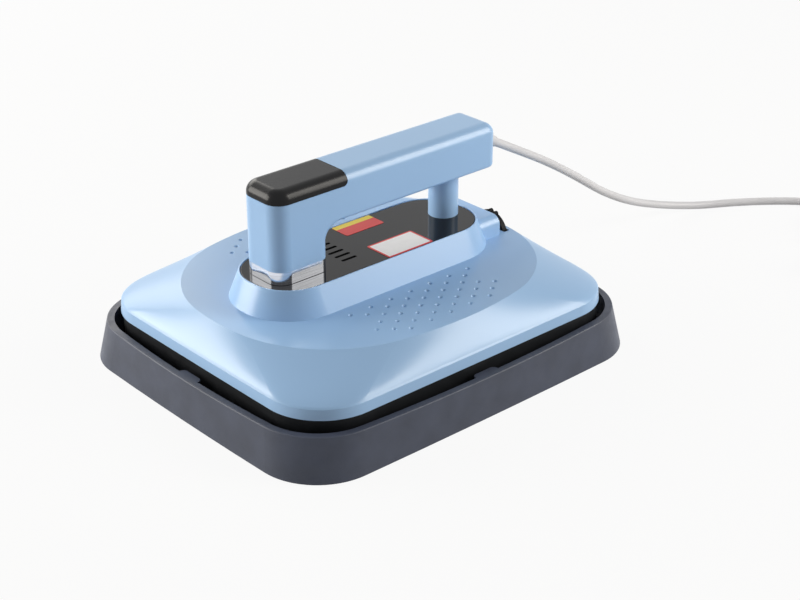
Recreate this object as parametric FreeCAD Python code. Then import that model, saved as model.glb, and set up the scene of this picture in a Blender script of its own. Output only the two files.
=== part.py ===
"""Mini handheld heat press: tray, heated press with bridge handle, rear dial and mains cord. Millimetres.

Origin: centre of the tray's footprint, on the table. +Z up. The handle lies along Y, its control cap towards -Y
and its cord towards +Y.
"""
import FreeCAD, Part
import math
import os

V = FreeCAD.Vector
os.makedirs("parts", exist_ok=True)

# ---------------------------------------------------------------- outlines: half X, half Y, corner radius, bows
TRAY_FOOTPRINT = (152.5, 179.2, 52.1, 2.1, 3.0)
TRAY_RIM = (150.7, 176.4, 54.9, 9.7, 8.9)
LID_EDGE = (138.0, 162.4, 49.6, 0.4, 0.6)
LID_CREASE = (120.1, 143.9, 103.4, 34.8, 31.4)
PLATE_OUTLINE = (127.0, 152.5, 40.0, 0.3, 0.3)

# ---------------------------------------------------------------- clearances
seat_gap = 0.3
slip_gap = 0.25
running_gap = 0.05
seam_gap = 0.3

# ---------------------------------------------------------------- tray
foot_proud = 0.6
tray_height = 34.6
rim_width = 5.5
rim_edge = 0.9
cavity_draft = 2.6
tray_wall = 2.6
floor_recess = 2.0
floor_thickness = 3.0
pocket_top_z = 20.0
pocket_rib_width = 2.4
rib_stations = (-120.0, -80.0, -40.0, 0.0, 40.0, 80.0, 120.0)
lip_reach = 4.6
lip_half_length = 11.4
lip_thickness = 3.0
lip_corner = 3.8
foot_radius = 9.0
foot_stem_radius = 2.5
foot_head_height = 1.4
foot_head_margin = 1.2
foot_edge = 0.5
foot_inset = 48.0
mat_thickness = 4.0
mat_inset = 4.0
liner_thickness = 0.5
rest_radius = 9.0
rest_height = 1.5
rest_edge = 0.6

# ---------------------------------------------------------------- heating deck
plate_thickness = 9.0
channel_radius = 3.3
heater_radius = 3.25
heater_outer_x = 100.0
heater_outer_y = 125.0
heater_inner_x = 50.0
heater_inner_y = 70.0
heater_lead_x = 12.0
heater_bend = 20.0
bead_radius = 4.5
bead_height = 11.0
bead_gap = 1.0
stud_radius = 1.6
stud_height = 6.0
clamp_thickness = 0.8
clamp_inset = 5.0
window_half_x = 38.0
window_half_y = 34.0
blanket_thickness = 12.0
blanket_inset = 3.0
frame_lift = 2.0
frame_inset = 1.6
upstand_inset = 3.4
frame_wall = 2.0
deck_thickness = 2.6
upstand_height = 4.4
press_depth = 29.7
standoff_radius = 4.0
standoff_stud_radius = 2.0
standoff_stud_depth = 6.0
standoff_x = 92.0
standoff_y = 112.0
lead_window_x = 24.0
lead_window_y = 45.0
window_corner = 6.0
edge_softening = 0.8
sensor_half_x = 6.0
sensor_front_y = -14.0
sensor_rear_y = 4.0
sensor_height = 5.0
sensor_lead_radius = 1.2
sensor_lead_length = 8.0
clip_thickness = 0.8
clip_foot = 5.2
clip_front_y = -9.0
clip_rear_y = -1.0
fuse_x = 24.0
fuse_radius = 2.2
fuse_wire_radius = 0.5
fuse_half_length = 8.0
fuse_wire_length = 8.0
cutout_x = -24.0
cutout_base_radius = 8.5
cutout_base_height = 3.0
cutout_cap_radius = 7.5
cutout_height = 9.0
cutout_tab_height = 6.0
cutout_tab_x = 2.5
cutout_tab_half_width = 2.4

# ---------------------------------------------------------------- lid
lid_wall = 2.6
lid_band_height = 8.4
lid_band_draft = 0.7
lid_shoulder = 1.2
lid_height = 29.8
flank_power = 1.25
flank_sections = 7
boss_radius = 4.5
thread_depth = 9.0
lid_boss_x = 119.0
lid_boss_y = 62.0
lid_boss_end_x = 62.0
lid_boss_end_y = 143.0
dimple_pitch_x = 7.67
dimple_pitch_y = 20.4
dimple_first_x = 59.2
dimple_rows = (7, 6, 5, 6, 7, 6, 5)
dimple_radius = 2.0
dimple_hole_radius = 0.9
dimple_depth = 1.1

# ---------------------------------------------------------------- screws
screw_radius = 1.9
screw_head_radius = 3.6
screw_head_height = 2.2
screw_clearance = 0.25
small_screw_radius = 1.25
small_head_radius = 2.4
small_head_height = 1.5
screw_tip_gap = 1.0

# ---------------------------------------------------------------- plinth and panel
plinth_skirt_x = 10.35
plinth_skirt_y = 10.4
plinth_base_flat = 2.0
plinth_height = 21.6
plinth_wall = 2.6
plinth_rim = 1.6
plinth_edge = 0.55
panel_half_x = 37.15
panel_flat = 3.35
panel_front_margin = 8.1
panel_rear_margin = 19.9
panel_thickness = 3.0
panel_drop = 0.5
panel_gap = 0.4
panel_edge = 0.5
panel_ledge = 3.6
ledge_thickness = 2.6
vent_count = 5
vent_pitch = 8.1
vent_width = 3.0
vent_setback = 16.8
vent_length = 15.0
block_half_x = 30.0
block_gap = 7.5
block_height = 16.8
block_corner = 8.0
plinth_screw_x = 36.5
plinth_screw_inset = 47.1
label_thickness = 0.3
label_corner = 1.5
red_label_margin = 0.65
red_label_setback = 70.0
red_label_half = (9.8, 19.8)
white_label_margin = 0.6
white_label_setback = 71.6
white_label_half = (13.7, 23.2)

# ---------------------------------------------------------------- handle
handle_half_x = 22.4
column_setback = 43.8
column_depth = 49.9
column_corner = 13.0
column_rear_corner = 8.0
ring_height = 10.7
ring_inset = 0.05
ring_wall = 2.0
ring_edge = 0.4
handle_top_rise = 75.6
beam_depth = 37.9
beam_overhang = 38.5
beam_rear_corner = 8.0
beam_lower_edge = 3.0
arch_radius = 14.0
handle_top_edge = 9.0
handle_wall = 2.6
web_rise = 25.0
cap_length = 68.9
cap_skirt = 10.3
cap_corner = 4.0
cap_wall = 2.2
cover_front_gap = 14.2
cover_rear_gap = 19.3
cover_half_x = 17.5
cover_corner = 4.0
cover_screw_x = 13.5
cover_screw_inset = 4.0
cover_post_radius = 3.6
cover_post_height = 8.0
post_rib_width = 2.4
small_thread_depth = 7.0
tongue_height = 3.2
tongue_wall = 1.2
pillar_half_x = 14.0
pillar_half_y = 16.0
pillar_wall = 2.5
flange_margin = 8.0
flange_thickness = 3.0
post_setback = 44.2
post_radius = 12.4
post_wall = 3.0
bolt_radius = 3.0
bolt_head_radius = 5.5
bolt_head_height = 4.0
nut_height = 5.0
bolt_end = 1.5
backing_thickness = 2.0
backing_half_x = 24.0
backing_front_margin = 3.9
backing_rear_margin = 11.7
backing_corner = 6.0
lead_hole_radius = 9.0
web_hole_radius = 6.0
pillar_top = 5.0
pillar_corner = 3.0
handle_screw_y = 11.0
handle_screw_depth = 5.0

# ---------------------------------------------------------------- electronics
board_thickness = 1.6
board_post_radius = 2.6
board_thread = 2.6
display_board_half_x = 15.0
display_board_front_gap = 6.1
display_board_rear_gap = 7.5
display_post_x = 11.5
display_post_inset = 4.0
display_corner = 3.0
module_half_x = 11.0
module_setback = 24.1
module_length = 18.0
digit_recess = 0.4
digit_border = 1.6
spring_radius = 2.4
spring_x = 6.5
front_spring_setback = 14.1
rear_spring_setback = 14.0
display_module_height = 2.6
control_board_half_x = 14.5
control_board_gap = 9.0
control_board_length = 57.0
control_board_rise = 6.0
board_corner = 1.0
board_screw_depth = 4.0
control_post_x = 11.5
control_post_inset = 4.0
connector_height = 8.0
connector_half_x = 7.3
connector_inset = 1.0
capacitor_radius = 5.0
capacitor_place = (8.0, 38.5)
capacitor_height = 13.0
POWER_BLOCKS = (
    (-11.0, 5.0, 12.0, 31.0, 15.0),
    (-12.0, 1.0, 33.0, 46.0, 14.0),
    (8.0, 12.5, 14.0, 24.0, 15.0),
    (6.0, 13.0, 25.0, 32.0, 1.6),
)
front_connector_length = 9.0
rear_connector_length = 8.0
lead_spots = (-4.0, 0.0, 4.0)
lead_radius = 1.3
lead_bend = 9.0
lead_low_z = 47.0
terminal_half_x = 20.0
terminal_front_y = -112.0
terminal_rear_y = -98.0
terminal_height = 12.0
terminal_screw_x = 14.0
terminal_corner = 1.5

# ---------------------------------------------------------------- dial
dial_x = 8.4
dial_setback = 5.2
dial_width = 5.2
dial_drop = 6.8
dial_radius = 18.7
dial_rib_height = 1.7
dial_rib_radius = 2.0
dial_rib_angles = (73.0, 91.0)
dial_slot_gap = 0.5
dial_slot_corner = 1.5
dial_edge = 0.6
spindle_radius = 1.75
ear_thickness = 1.8
ear_gap = 0.5
ear_half_width = 5.0
ear_shoulder = 4.0
ear_margin = 1.55
bracket_half_width = 18.0
bracket_base = 2.0
bracket_peg_radius = 2.0
bracket_peg_x = 14.0
potentiometer_half_width = 5.5
potentiometer_depth = 8.5
potentiometer_length = 7.0
potentiometer_pin_pitch = 2.5
potentiometer_pin_half = 0.4
potentiometer_pin_length = 4.0
bushing_radius = 3.2
bushing_length = 3.2
keeper_radius = 2.8
keeper_length = 1.0

# ---------------------------------------------------------------- cord
cord_radius = 3.65
core_radius = 3.6
relief_z = 149.0
supply_fall_setback = 44.8
supply_straight = 14.0
relief_base_radius = 7.0
relief_tip_radius = 4.3
relief_neck_radius = 5.0
relief_flange_radius = 8.0
relief_flange = 2.5
relief_stations = 6
clamp_setback = 25.8
clamp_length = 8.0
clamp_half_x = 13.0
clamp_screw_x = 9.0
clamp_height = 6.5
clamp_gap = 0.4
CORD_ROUTE = [
    (0.0, 147.5, 140.0),
    (-0.8, 178.0, 123.7),
    (-4.0, 219.0, 101.1),
    (-8.9, 262.0, 74.1),
    (-12.5, 303.0, 46.3),
    (-12.3, 343.0, 25.3),
    (-6.6, 384.0, 11.7),
    (5.4, 424.0, 3.65),
    (22.0, 454.0, 3.65),
    (42.0, 482.0, 3.65),
    (66.0, 505.0, 4.65),
    (93.0, 523.0, 4.65),
]
coil_centre = (144.9, 499.3)
coil_outer_turn = 48.5
coil_inner_turn = 29.4
coil_layers = 2
coil_exit_angle = -8.0
coil_tail = 31.0
coil_rounding = 3.2
tie_thickness = 1.0
tie_half_width = 5.0
tie_angle = -100.0
tie_slack = 0.6
plug_boot_length = 20.0
plug_boot_radius = 6.5
plug_length = 36.0
plug_half_width = 13.0
plug_corner = 5.0
blade_spacing = 12.7
blade_height = 6.35
blade_thickness = 1.52
blade_length = 17.0
blade_root = 5.0
blade_rise = 4.5
earth_drop = 11.9
earth_radius = 2.4
earth_length = 20.0
earth_tip = 1.2
plug_front_edge = 1.5
plug_rear_edge = 3.0

# ---------------------------------------------------------------- heights worked out from the sizes above
tray_floor_z = foot_proud + floor_recess + floor_thickness
mat_top_z = tray_floor_z + mat_thickness
liner_top_z = mat_top_z + liner_thickness
plate_bottom_z = liner_top_z + rest_height + seat_gap
plate_top_z = plate_bottom_z + plate_thickness
clamp_top_z = plate_top_z + clamp_thickness
blanket_top_z = clamp_top_z + blanket_thickness
frame_bottom_z = plate_bottom_z + frame_lift
lid_edge_z = plate_bottom_z + press_depth
deck_bottom_z = lid_edge_z - deck_thickness
lid_top_z = lid_edge_z + lid_height
lid_ceiling_z = lid_top_z - lid_wall
backing_bottom_z = lid_ceiling_z - backing_thickness
plinth_top_z = lid_top_z + plinth_height
panel_top_z = plinth_top_z - panel_drop
panel_bottom_z = panel_top_z - panel_thickness
ring_top_z = panel_top_z + ring_height
handle_top_z = panel_top_z + handle_top_rise
beam_bottom_z = handle_top_z - beam_depth
web_bottom_z = ring_top_z + web_rise
web_top_z = beam_bottom_z + handle_wall
cap_low_z = handle_top_z - cap_skirt
cap_ceiling_z = handle_top_z - cap_wall
display_board_top_z = cap_ceiling_z - seat_gap - display_module_height
display_board_low_z = display_board_top_z - board_thickness
control_board_low_z = web_top_z + control_board_rise
control_board_top_z = control_board_low_z + board_thickness
dial_z = lid_top_z - dial_drop

# ---------------------------------------------------------------- places along Y, from the lid's crease inwards
crease_y = LID_CREASE[1]
dial_rear_y = crease_y - dial_setback
dial_front_y = dial_rear_y - dial_width
dial_y = (dial_front_y + dial_rear_y) / 2
block_rear_y = dial_front_y - block_gap
post_y = dial_front_y - post_setback
column_front_y = column_setback - crease_y
column_rear_y = column_front_y + column_depth
column_y = (column_front_y + column_rear_y) / 2
cap_rear_y = column_front_y + cap_length
beam_rear_y = post_y + beam_overhang
clamp_front_y = beam_rear_y - clamp_setback
clamp_rear_y = clamp_front_y + clamp_length
supply_fall_y = beam_rear_y - supply_fall_setback
cover_front_y = column_rear_y + arch_radius + cover_front_gap
cover_rear_y = post_y - cover_rear_gap
panel_front_y = column_front_y - panel_front_margin
panel_rear_y = post_y + panel_rear_margin
panel_half_y = (panel_rear_y - panel_front_y) / 2
panel_corner = panel_half_x - panel_flat
plinth_y = (panel_rear_y + panel_front_y) / 2
plinth_base_half_x = panel_half_x + plinth_skirt_x
plinth_base_half_y = panel_half_y + plinth_skirt_y
plinth_base_corner = plinth_base_half_x - plinth_base_flat
plinth_screw_reach = plinth_base_half_y - plinth_screw_inset
vent_front_y = column_rear_y + vent_setback
vent_rear_y = vent_front_y + vent_length
red_label_x = red_label_half[0] + red_label_margin - panel_half_x
white_label_x = panel_half_x - white_label_margin - white_label_half[0]
red_label_centre = (red_label_x, column_rear_y + red_label_setback)
white_label_centre = (white_label_x, column_rear_y + white_label_setback)
backing_front_y = column_front_y - backing_front_margin
backing_rear_y = post_y + backing_rear_margin
display_board_front_y = column_front_y + display_board_front_gap
display_board_rear_y = cap_rear_y - display_board_rear_gap
display_post_ys = (display_board_front_y + display_post_inset, display_board_rear_y - display_post_inset)
module_front_y = column_front_y + module_setback
module_rear_y = module_front_y + module_length
front_spring_y = column_front_y + front_spring_setback
rear_spring_y = cap_rear_y - rear_spring_setback
spring_spots = ((-spring_x, front_spring_y), (spring_x, front_spring_y), (0.0, rear_spring_y))
control_board_front_y = cover_front_y + control_board_gap
control_board_rear_y = control_board_front_y + control_board_length
control_post_ys = (control_board_front_y + control_post_inset, control_board_rear_y - control_post_inset)


# ================================================================ helpers
def inset(outline, distance):
    """The outline moved inwards by a distance, or outwards if it is negative."""
    half_x, half_y, corner, bow_x, bow_y = outline
    return (half_x - distance, half_y - distance, corner - distance, bow_x, bow_y)


def between(first, second, share):
    """The outline that lies a share of the way from one outline to another."""
    return tuple(a + (b - a) * share for a, b in zip(first, second))


def bowed_wire(outline, z):
    """A closed wire of four wide side arcs and four corner arcs, tangent to each other."""
    half_x, half_y, corner, bow_x, bow_y = outline
    side_x = half_y**2 / (2 * bow_x)
    side_y = half_x**2 / (2 * bow_y)
    centre_x = half_x - side_x
    centre_y = half_y - side_y
    reach_x = side_x - corner
    reach_y = side_y - corner
    span = math.hypot(centre_x, centre_y)
    along = (reach_x**2 - reach_y**2 + span**2) / (2 * span)
    across = math.sqrt(reach_x**2 - along**2)
    unit_x, unit_y = -centre_x / span, centre_y / span
    corner_x = centre_x + along * unit_x - across * unit_y
    corner_y = along * unit_y + across * unit_x
    if corner_x < 0 or corner_y < 0:
        corner_x = centre_x + along * unit_x + across * unit_y
        corner_y = along * unit_y - across * unit_x
    turn_a = math.atan2(corner_y, corner_x - centre_x)
    turn_b = math.atan2(corner_y - centre_y, corner_x)

    def on_side(angle):
        return (centre_x + side_x * math.cos(angle), side_x * math.sin(angle))

    def on_end(angle):
        return (side_y * math.cos(angle), centre_y + side_y * math.sin(angle))

    def on_corner(angle):
        return (corner_x + corner * math.cos(angle), corner_y + corner * math.sin(angle))

    low, mid, high = on_side(turn_a), on_corner((turn_a + turn_b) / 2), on_end(turn_b)
    signs = ((1, 1), (-1, 1), (-1, -1), (1, -1))
    edges = []
    for number, (sx, sy) in enumerate(signs):
        points = [low, mid, high] if number % 2 == 0 else [high, mid, low]
        edges.append(arc([V(sx * x, sy * y, z) for x, y in points]))
        nx, ny = signs[(number + 1) % 4]
        if number % 2 == 0:
            middle = V(0, sy * half_y, z)
            side = [V(sx * high[0], sy * high[1], z), middle, V(nx * high[0], ny * high[1], z)]
        else:
            middle = V(sx * half_x, 0, z)
            side = [V(sx * low[0], sy * low[1], z), middle, V(nx * low[0], ny * low[1], z)]
        edges.append(arc(side))
    return Part.Wire(edges)


def arc(points):
    """An edge through three points of a circle."""
    return Part.Arc(*points).toShape()


def bowed_prism(outline, low, high):
    """A straight-sided solid on a bowed outline."""
    return Part.Face(bowed_wire(outline, low)).extrude(V(0, 0, high - low))


def loft(wires, ruled=True):
    """A closed solid through wires, from the lowest to the highest."""
    return Part.makeLoft(wires, True, ruled)


def round_wire(half_x, half_y, corner, z, centre=(0.0, 0.0)):
    """A rectangle with round corners, as eight edges."""
    cx, cy = centre
    dx, dy = half_x - corner, half_y - corner
    diagonal = corner * math.sqrt(0.5)
    edges = []
    corners = ((1, 1), (-1, 1), (-1, -1), (1, -1))
    for number, (sx, sy) in enumerate(corners):
        tip_x = V(cx + sx * half_x, cy + sy * dy, z)
        tip_y = V(cx + sx * dx, cy + sy * half_y, z)
        middle = V(cx + sx * (dx + diagonal), cy + sy * (dy + diagonal), z)
        first, last = (tip_x, tip_y) if number % 2 == 0 else (tip_y, tip_x)
        edges.append(arc([first, middle, last]))
        nx, ny = corners[(number + 1) % 4]
        if number % 2 == 0:
            follow = V(cx + nx * dx, cy + ny * half_y, z)
        else:
            follow = V(cx + nx * half_x, cy + ny * dy, z)
        edges.append(Part.LineSegment(last, follow).toShape())
    return Part.Wire(edges)


def round_prism(half_x, half_y, corner, low, high, centre=(0.0, 0.0)):
    """A block with round vertical edges."""
    return Part.Face(round_wire(half_x, half_y, corner, low, centre)).extrude(V(0, 0, high - low))


def block(x0, x1, y0, y1, z0, z1):
    """A box between two corners."""
    return Part.makeBox(x1 - x0, y1 - y0, z1 - z0, V(x0, y0, z0))


def rod(radius, x, y, low, high):
    """An upright cylinder."""
    return Part.makeCylinder(radius, high - low, V(x, y, low))


def rod_y(radius, x, z, front, rear):
    """A cylinder along Y."""
    return Part.makeCylinder(radius, rear - front, V(x, front, z), V(0, 1, 0))


def joined(shapes):
    """One solid from overlapping or touching shapes."""
    shapes = list(shapes)
    whole = shapes[0]
    if len(shapes) > 1:
        whole = whole.multiFuse(shapes[1:])
    return whole.removeSplitter()


LARGE_SCREW = (screw_radius, screw_head_radius, screw_head_height)
SMALL_SCREW = (small_screw_radius, small_head_radius, small_head_height)


def screw(x, y, head_z, tip_z, size=LARGE_SCREW):
    """A pan-head screw whose head seats on head_z. It points up or down to tip_z."""
    radius, head_radius, head_height = size
    down = tip_z < head_z
    shank = rod(radius, x, y, min(head_z, tip_z), max(head_z, tip_z))
    head_low = head_z if down else head_z - head_height
    head = rod(head_radius, x, y, head_low, head_low + head_height)
    reach, half = head_radius * 0.6, head_radius * 0.13
    recess = head_height * 0.55
    cut_low = head_low + head_height - recess if down else head_low
    cut_high = cut_low + recess
    cross = block(x - reach, x + reach, y - half, y + half, cut_low, cut_high)
    cross = cross.fuse(block(x - half, x + half, y - reach, y + reach, cut_low, cut_high))
    return joined([shank, head]).cut(cross)


def screw_hole(x, y, low, high, size=LARGE_SCREW):
    """The clearance hole of a screw."""
    return rod(size[0] + screw_clearance, x, y, low, high)


def filleted(shape, radius, wanted):
    """The shape with a radius on each edge for which wanted(edge) is true."""
    edges = [edge for edge in shape.Edges if wanted(edge)]
    return shape.makeFillet(radius, edges)


def upright(edge):
    """True for a straight edge along Z."""
    first, last = edge.Vertexes[0].Point, edge.Vertexes[-1].Point
    flat = math.hypot(first.x - last.x, first.y - last.y)
    return flat < 0.001 and abs(first.z - last.z) > 0.1


def mirrored_spots(x, y):
    """The four places at plus and minus x and y."""
    return [(sx * x, sy * y) for sx in (-1, 1) for sy in (-1, 1)]


def save(name, shape):
    """Writes one node, and prints its number of solids and its volume."""
    solids = shape.Solids
    valid = shape.isValid()
    print(f"{name:24s} solids {len(solids):3d}  cm3 {shape.Volume / 1000:9.3f}  valid {valid}")
    shape.exportStep(f"parts/{name}.step")


def group(shapes):
    """Separate solids in one node."""
    return Part.makeCompound(list(shapes))


# ================================================================ tray
CAVITY_RIM = inset(TRAY_RIM, rim_width)
CAVITY_FLOOR = inset(CAVITY_RIM, cavity_draft)


def wall_outline(z, low, high):
    """The outline at height z of a wall that leans from one outline to another over the tray's height."""
    return between(low, high, (z - foot_proud) / (tray_height - foot_proud))


def foot_spots():
    return mirrored_spots(TRAY_FOOTPRINT[0] - foot_inset, TRAY_FOOTPRINT[1] - foot_inset)


def tray_shell():
    outer = loft([bowed_wire(TRAY_FOOTPRINT, foot_proud), bowed_wire(TRAY_RIM, tray_height)])
    outer = filleted(outer, rim_edge, lambda e: e.BoundBox.ZMin > tray_height - 0.001)
    cavity = loft([bowed_wire(CAVITY_FLOOR, tray_floor_z), bowed_wire(CAVITY_RIM, tray_height + 0.001)])
    floor_low = foot_proud + floor_recess
    pocket_base = inset(TRAY_FOOTPRINT, tray_wall)
    pocket_peak = inset(wall_outline(pocket_top_z, TRAY_FOOTPRINT, TRAY_RIM), tray_wall)
    pocket = loft([bowed_wire(pocket_base, foot_proud), bowed_wire(pocket_peak, pocket_top_z)])
    core = bowed_prism(inset(CAVITY_FLOOR, -tray_wall), floor_low, pocket_top_z)
    pocket = pocket.cut(core)
    reach = TRAY_FOOTPRINT[1]
    ribs = []
    for y in rib_stations:
        near, far = y - pocket_rib_width / 2, y + pocket_rib_width / 2
        ribs.append(block(-reach, reach, near, far, floor_low, pocket_top_z))
        ribs.append(block(near, far, -reach, reach, floor_low, pocket_top_z))
    pocket = pocket.cut(joined(ribs))
    shell = outer.cut(cavity).cut(pocket)
    stem_holes = [rod(foot_stem_radius, x, y, floor_low - 1, tray_floor_z + 1) for x, y in foot_spots()]
    return joined([shell.cut(group(stem_holes)), *rim_lips()])


def rim_lips():
    """Four short lips that reach inwards from the middle of the rim's sides."""
    lips = []
    low = tray_height - lip_thickness
    for half, along_x in ((CAVITY_RIM[0], False), (CAVITY_RIM[1], True)):
        root = half + rim_width / 2
        tip = half - lip_reach
        for side in (-1, 1):
            near, far = sorted((side * root, side * tip))
            length = (-lip_half_length, lip_half_length)
            spans = (*length, near, far) if along_x else (near, far, *length)
            lip = block(*spans, low, tray_height)
            ends = [e for e in lip.Edges if upright(e) and on_lip_tip(e, tip, along_x)]
            lips.append(lip.makeFillet(lip_corner, ends))
    return lips


def on_lip_tip(edge, tip, along_x):
    point = edge.Vertexes[0].Point
    return abs(abs(point.y if along_x else point.x) - tip) < 0.001


def tray_feet():
    floor_low = foot_proud + floor_recess
    feet = []
    for x, y in foot_spots():
        disc = rod(foot_radius, x, y, 0, floor_low)
        disc = filleted(disc, foot_edge, lambda edge: edge.Vertexes[0].Point.z < 0.001 and edge.Closed)
        stem = rod(foot_stem_radius, x, y, floor_low, tray_floor_z)
        head = rod(foot_stem_radius + foot_head_margin, x, y, tray_floor_z, tray_floor_z + foot_head_height)
        feet.append(joined([disc, stem, head]))
    return group(feet)


def heat_mat():
    mat = bowed_prism(inset(CAVITY_FLOOR, mat_inset), tray_floor_z, mat_top_z)
    radius, top = foot_stem_radius + foot_head_margin, tray_floor_z + foot_head_height
    pockets = [rod(radius, x, y, tray_floor_z, top) for x, y in foot_spots()]
    return mat.cut(group(pockets))


def liner_sheet():
    return bowed_prism(inset(CAVITY_FLOOR, mat_inset), mat_top_z, liner_top_z)


def plate_rests():
    spots = mirrored_spots(standoff_x, standoff_y) + [(0, 0)]
    buttons = []
    for x, y in spots:
        button = rod(rest_radius, x, y, liner_top_z, liner_top_z + rest_height)
        top = liner_top_z + rest_height - 0.001
        buttons.append(filleted(button, rest_edge, lambda edge: edge.Closed and edge.Vertexes[0].Point.z > top))
    return group(buttons)


# ================================================================ heating deck
def heater_path(z):
    """One outer and one inner loop, from a lead at the front to a lead near the centre."""
    corners = [
        (-heater_lead_x, -heater_outer_y),
        (-heater_outer_x, -heater_outer_y),
        (-heater_outer_x, heater_outer_y),
        (heater_outer_x, heater_outer_y),
        (heater_outer_x, -heater_outer_y),
        (heater_inner_x, -heater_outer_y),
        (heater_inner_x, heater_inner_y),
        (-heater_inner_x, heater_inner_y),
        (-heater_inner_x, -heater_inner_y),
        (heater_lead_x, -heater_inner_y),
    ]
    return rounded_path([V(x, y, z) for x, y in corners], lambda before, after, turn: heater_bend)


def rounded_path(points, radius_at):
    """Straight runs joined by tangent arcs. radius_at(run before, run after, turn) gives each arc's radius."""
    edges, start = [], points[0]
    for number in range(1, len(points) - 1):
        before = points[number - 1] - points[number]
        after = points[number + 1] - points[number]
        turn = math.pi - before.getAngle(after)
        radius = radius_at(before.Length, after.Length, turn)
        cut_back = radius * math.tan(turn / 2)
        unit_before = before.normalize()
        unit_after = after.normalize()
        first = points[number] + unit_before * cut_back
        last = points[number] + unit_after * cut_back
        bisector = (unit_before + unit_after).normalize()
        middle = points[number] + bisector * (radius / math.cos(turn / 2) - radius)
        if (first - start).Length > 0.001:
            edges.append(Part.LineSegment(start, first).toShape())
        edges.append(arc([first, middle, last]))
        start = last
    edges.append(Part.LineSegment(start, points[-1]).toShape())
    return Part.Wire(edges)


def tube(path, radius):
    """A round solid along a path of lines and arcs."""
    edge = path.OrderedEdges[0]
    start = edge.valueAt(edge.FirstParameter)
    direction = edge.tangentAt(edge.FirstParameter)
    section = Part.Wire(Part.makeCircle(radius, start, direction))
    return path.makePipeShell([section], True, False)


def heater_ends():
    return [(-heater_lead_x, -heater_outer_y), (heater_lead_x, -heater_inner_y)]


def standoff_spots():
    return mirrored_spots(standoff_x, standoff_y) + [(-standoff_x, 0), (standoff_x, 0)]


channel_z = plate_top_z - channel_radius


def heating_plate():
    plate = bowed_prism(PLATE_OUTLINE, plate_bottom_z, plate_top_z)
    low = plate_top_z - standoff_stud_depth
    holes = [rod(standoff_stud_radius, x, y, low, plate_top_z) for x, y in standoff_spots()]
    return plate.cut(heater_channel()).cut(group(holes))


def heater_channel():
    """A slot with a round bottom along the heater's path, open at the plate's top."""
    path = heater_path(channel_z)
    start = path.OrderedEdges[0].valueAt(path.OrderedEdges[0].FirstParameter)
    left, right = start - V(0, channel_radius, 0), start + V(0, channel_radius, 0)
    up = V(0, 0, channel_radius)
    bottom = arc([left, start - up, right])
    sides = Part.makePolygon([right, right + up, left + up, left])
    return path.makePipeShell([Part.Wire([bottom, *sides.Edges])], True, False)


def heater_tube():
    return tube(heater_path(channel_z), heater_radius)


def bead_spots():
    return [(x - bead_radius, y) for x, y in heater_ends()]


def heater_terminals():
    bead_top = plate_top_z + bead_height
    pieces = []
    for x, y in bead_spots():
        bead = rod(bead_radius, x, y, plate_top_z, bead_top)
        stud = rod(stud_radius, x, y, bead_top, bead_top + stud_height)
        pieces.append(joined([bead, stud]))
    return group(pieces)


def clamp_sheet():
    sheet = bowed_prism(inset(PLATE_OUTLINE, clamp_inset), plate_top_z, clamp_top_z)
    radius = standoff_stud_radius + slip_gap
    holes = [rod(radius, x, y, plate_top_z, clamp_top_z) for x, y in standoff_spots()]
    holes += [rod(bead_radius + seat_gap, x, y, plate_top_z, clamp_top_z) for x, y in bead_spots()]
    return sheet.cut(group(holes))


def insulation_blanket():
    blanket = bowed_prism(inset(PLATE_OUTLINE, blanket_inset), clamp_top_z, blanket_top_z)
    holes = [rod(standoff_radius + seat_gap, x, y, clamp_top_z, blanket_top_z) for x, y in standoff_spots()]
    holes += [rod(bead_radius + seat_gap, x, y, clamp_top_z, blanket_top_z) for x, y in bead_spots()]
    window = round_prism(window_half_x, window_half_y, window_corner, clamp_top_z, blanket_top_z)
    return blanket.cut(group(holes)).cut(window)


def standoffs():
    pieces = []
    for x, y in standoff_spots():
        body = rod(standoff_radius, x, y, clamp_top_z, deck_bottom_z)
        stud = rod(standoff_stud_radius, x, y, plate_top_z - standoff_stud_depth, clamp_top_z)
        tap = rod(screw_radius, x, y, deck_bottom_z - thread_depth, deck_bottom_z)
        pieces.append(joined([body, stud]).cut(tap))
    return group(pieces)


def standoff_screws():
    tip = deck_bottom_z - thread_depth + screw_tip_gap
    return group(screw(x, y, lid_edge_z, tip) for x, y in standoff_spots())


FRAME_OUTLINE = inset(LID_EDGE, frame_inset)
UPSTAND_OUTLINE = inset(LID_EDGE, upstand_inset)


def lid_boss_spots():
    return mirrored_spots(lid_boss_x, lid_boss_y) + mirrored_spots(lid_boss_end_x, lid_boss_end_y)


def base_frame():
    upstand_top = lid_edge_z + upstand_height
    outer = bowed_prism(FRAME_OUTLINE, frame_bottom_z, lid_edge_z)
    below = bowed_prism(inset(FRAME_OUTLINE, frame_wall), frame_bottom_z, deck_bottom_z)
    upstand = bowed_prism(UPSTAND_OUTLINE, lid_edge_z, upstand_top)
    above = bowed_prism(inset(UPSTAND_OUTLINE, frame_wall), lid_edge_z, upstand_top)
    frame = joined([outer.cut(below), upstand.cut(above)])
    window = round_prism(lead_window_x, lead_window_y, window_corner, deck_bottom_z, lid_edge_z)
    spots = standoff_spots() + lid_boss_spots() + terminal_screw_spots()
    holes = [screw_hole(x, y, deck_bottom_z, lid_edge_z) for x, y in spots]
    bead_holes = [rod(bead_radius + bead_gap, x, y, deck_bottom_z, lid_edge_z) for x, y in bead_spots()]
    frame = frame.cut(window).cut(group(holes + bead_holes + bracket_pegs()))
    bottom = frame_bottom_z + 0.001
    return filleted(frame, edge_softening, lambda edge: edge.BoundBox.ZMax < bottom)


def deck_screws():
    tip = lid_edge_z + thread_depth - screw_tip_gap
    return group(screw(x, y, deck_bottom_z, tip) for x, y in lid_boss_spots() + terminal_screw_spots())


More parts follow.
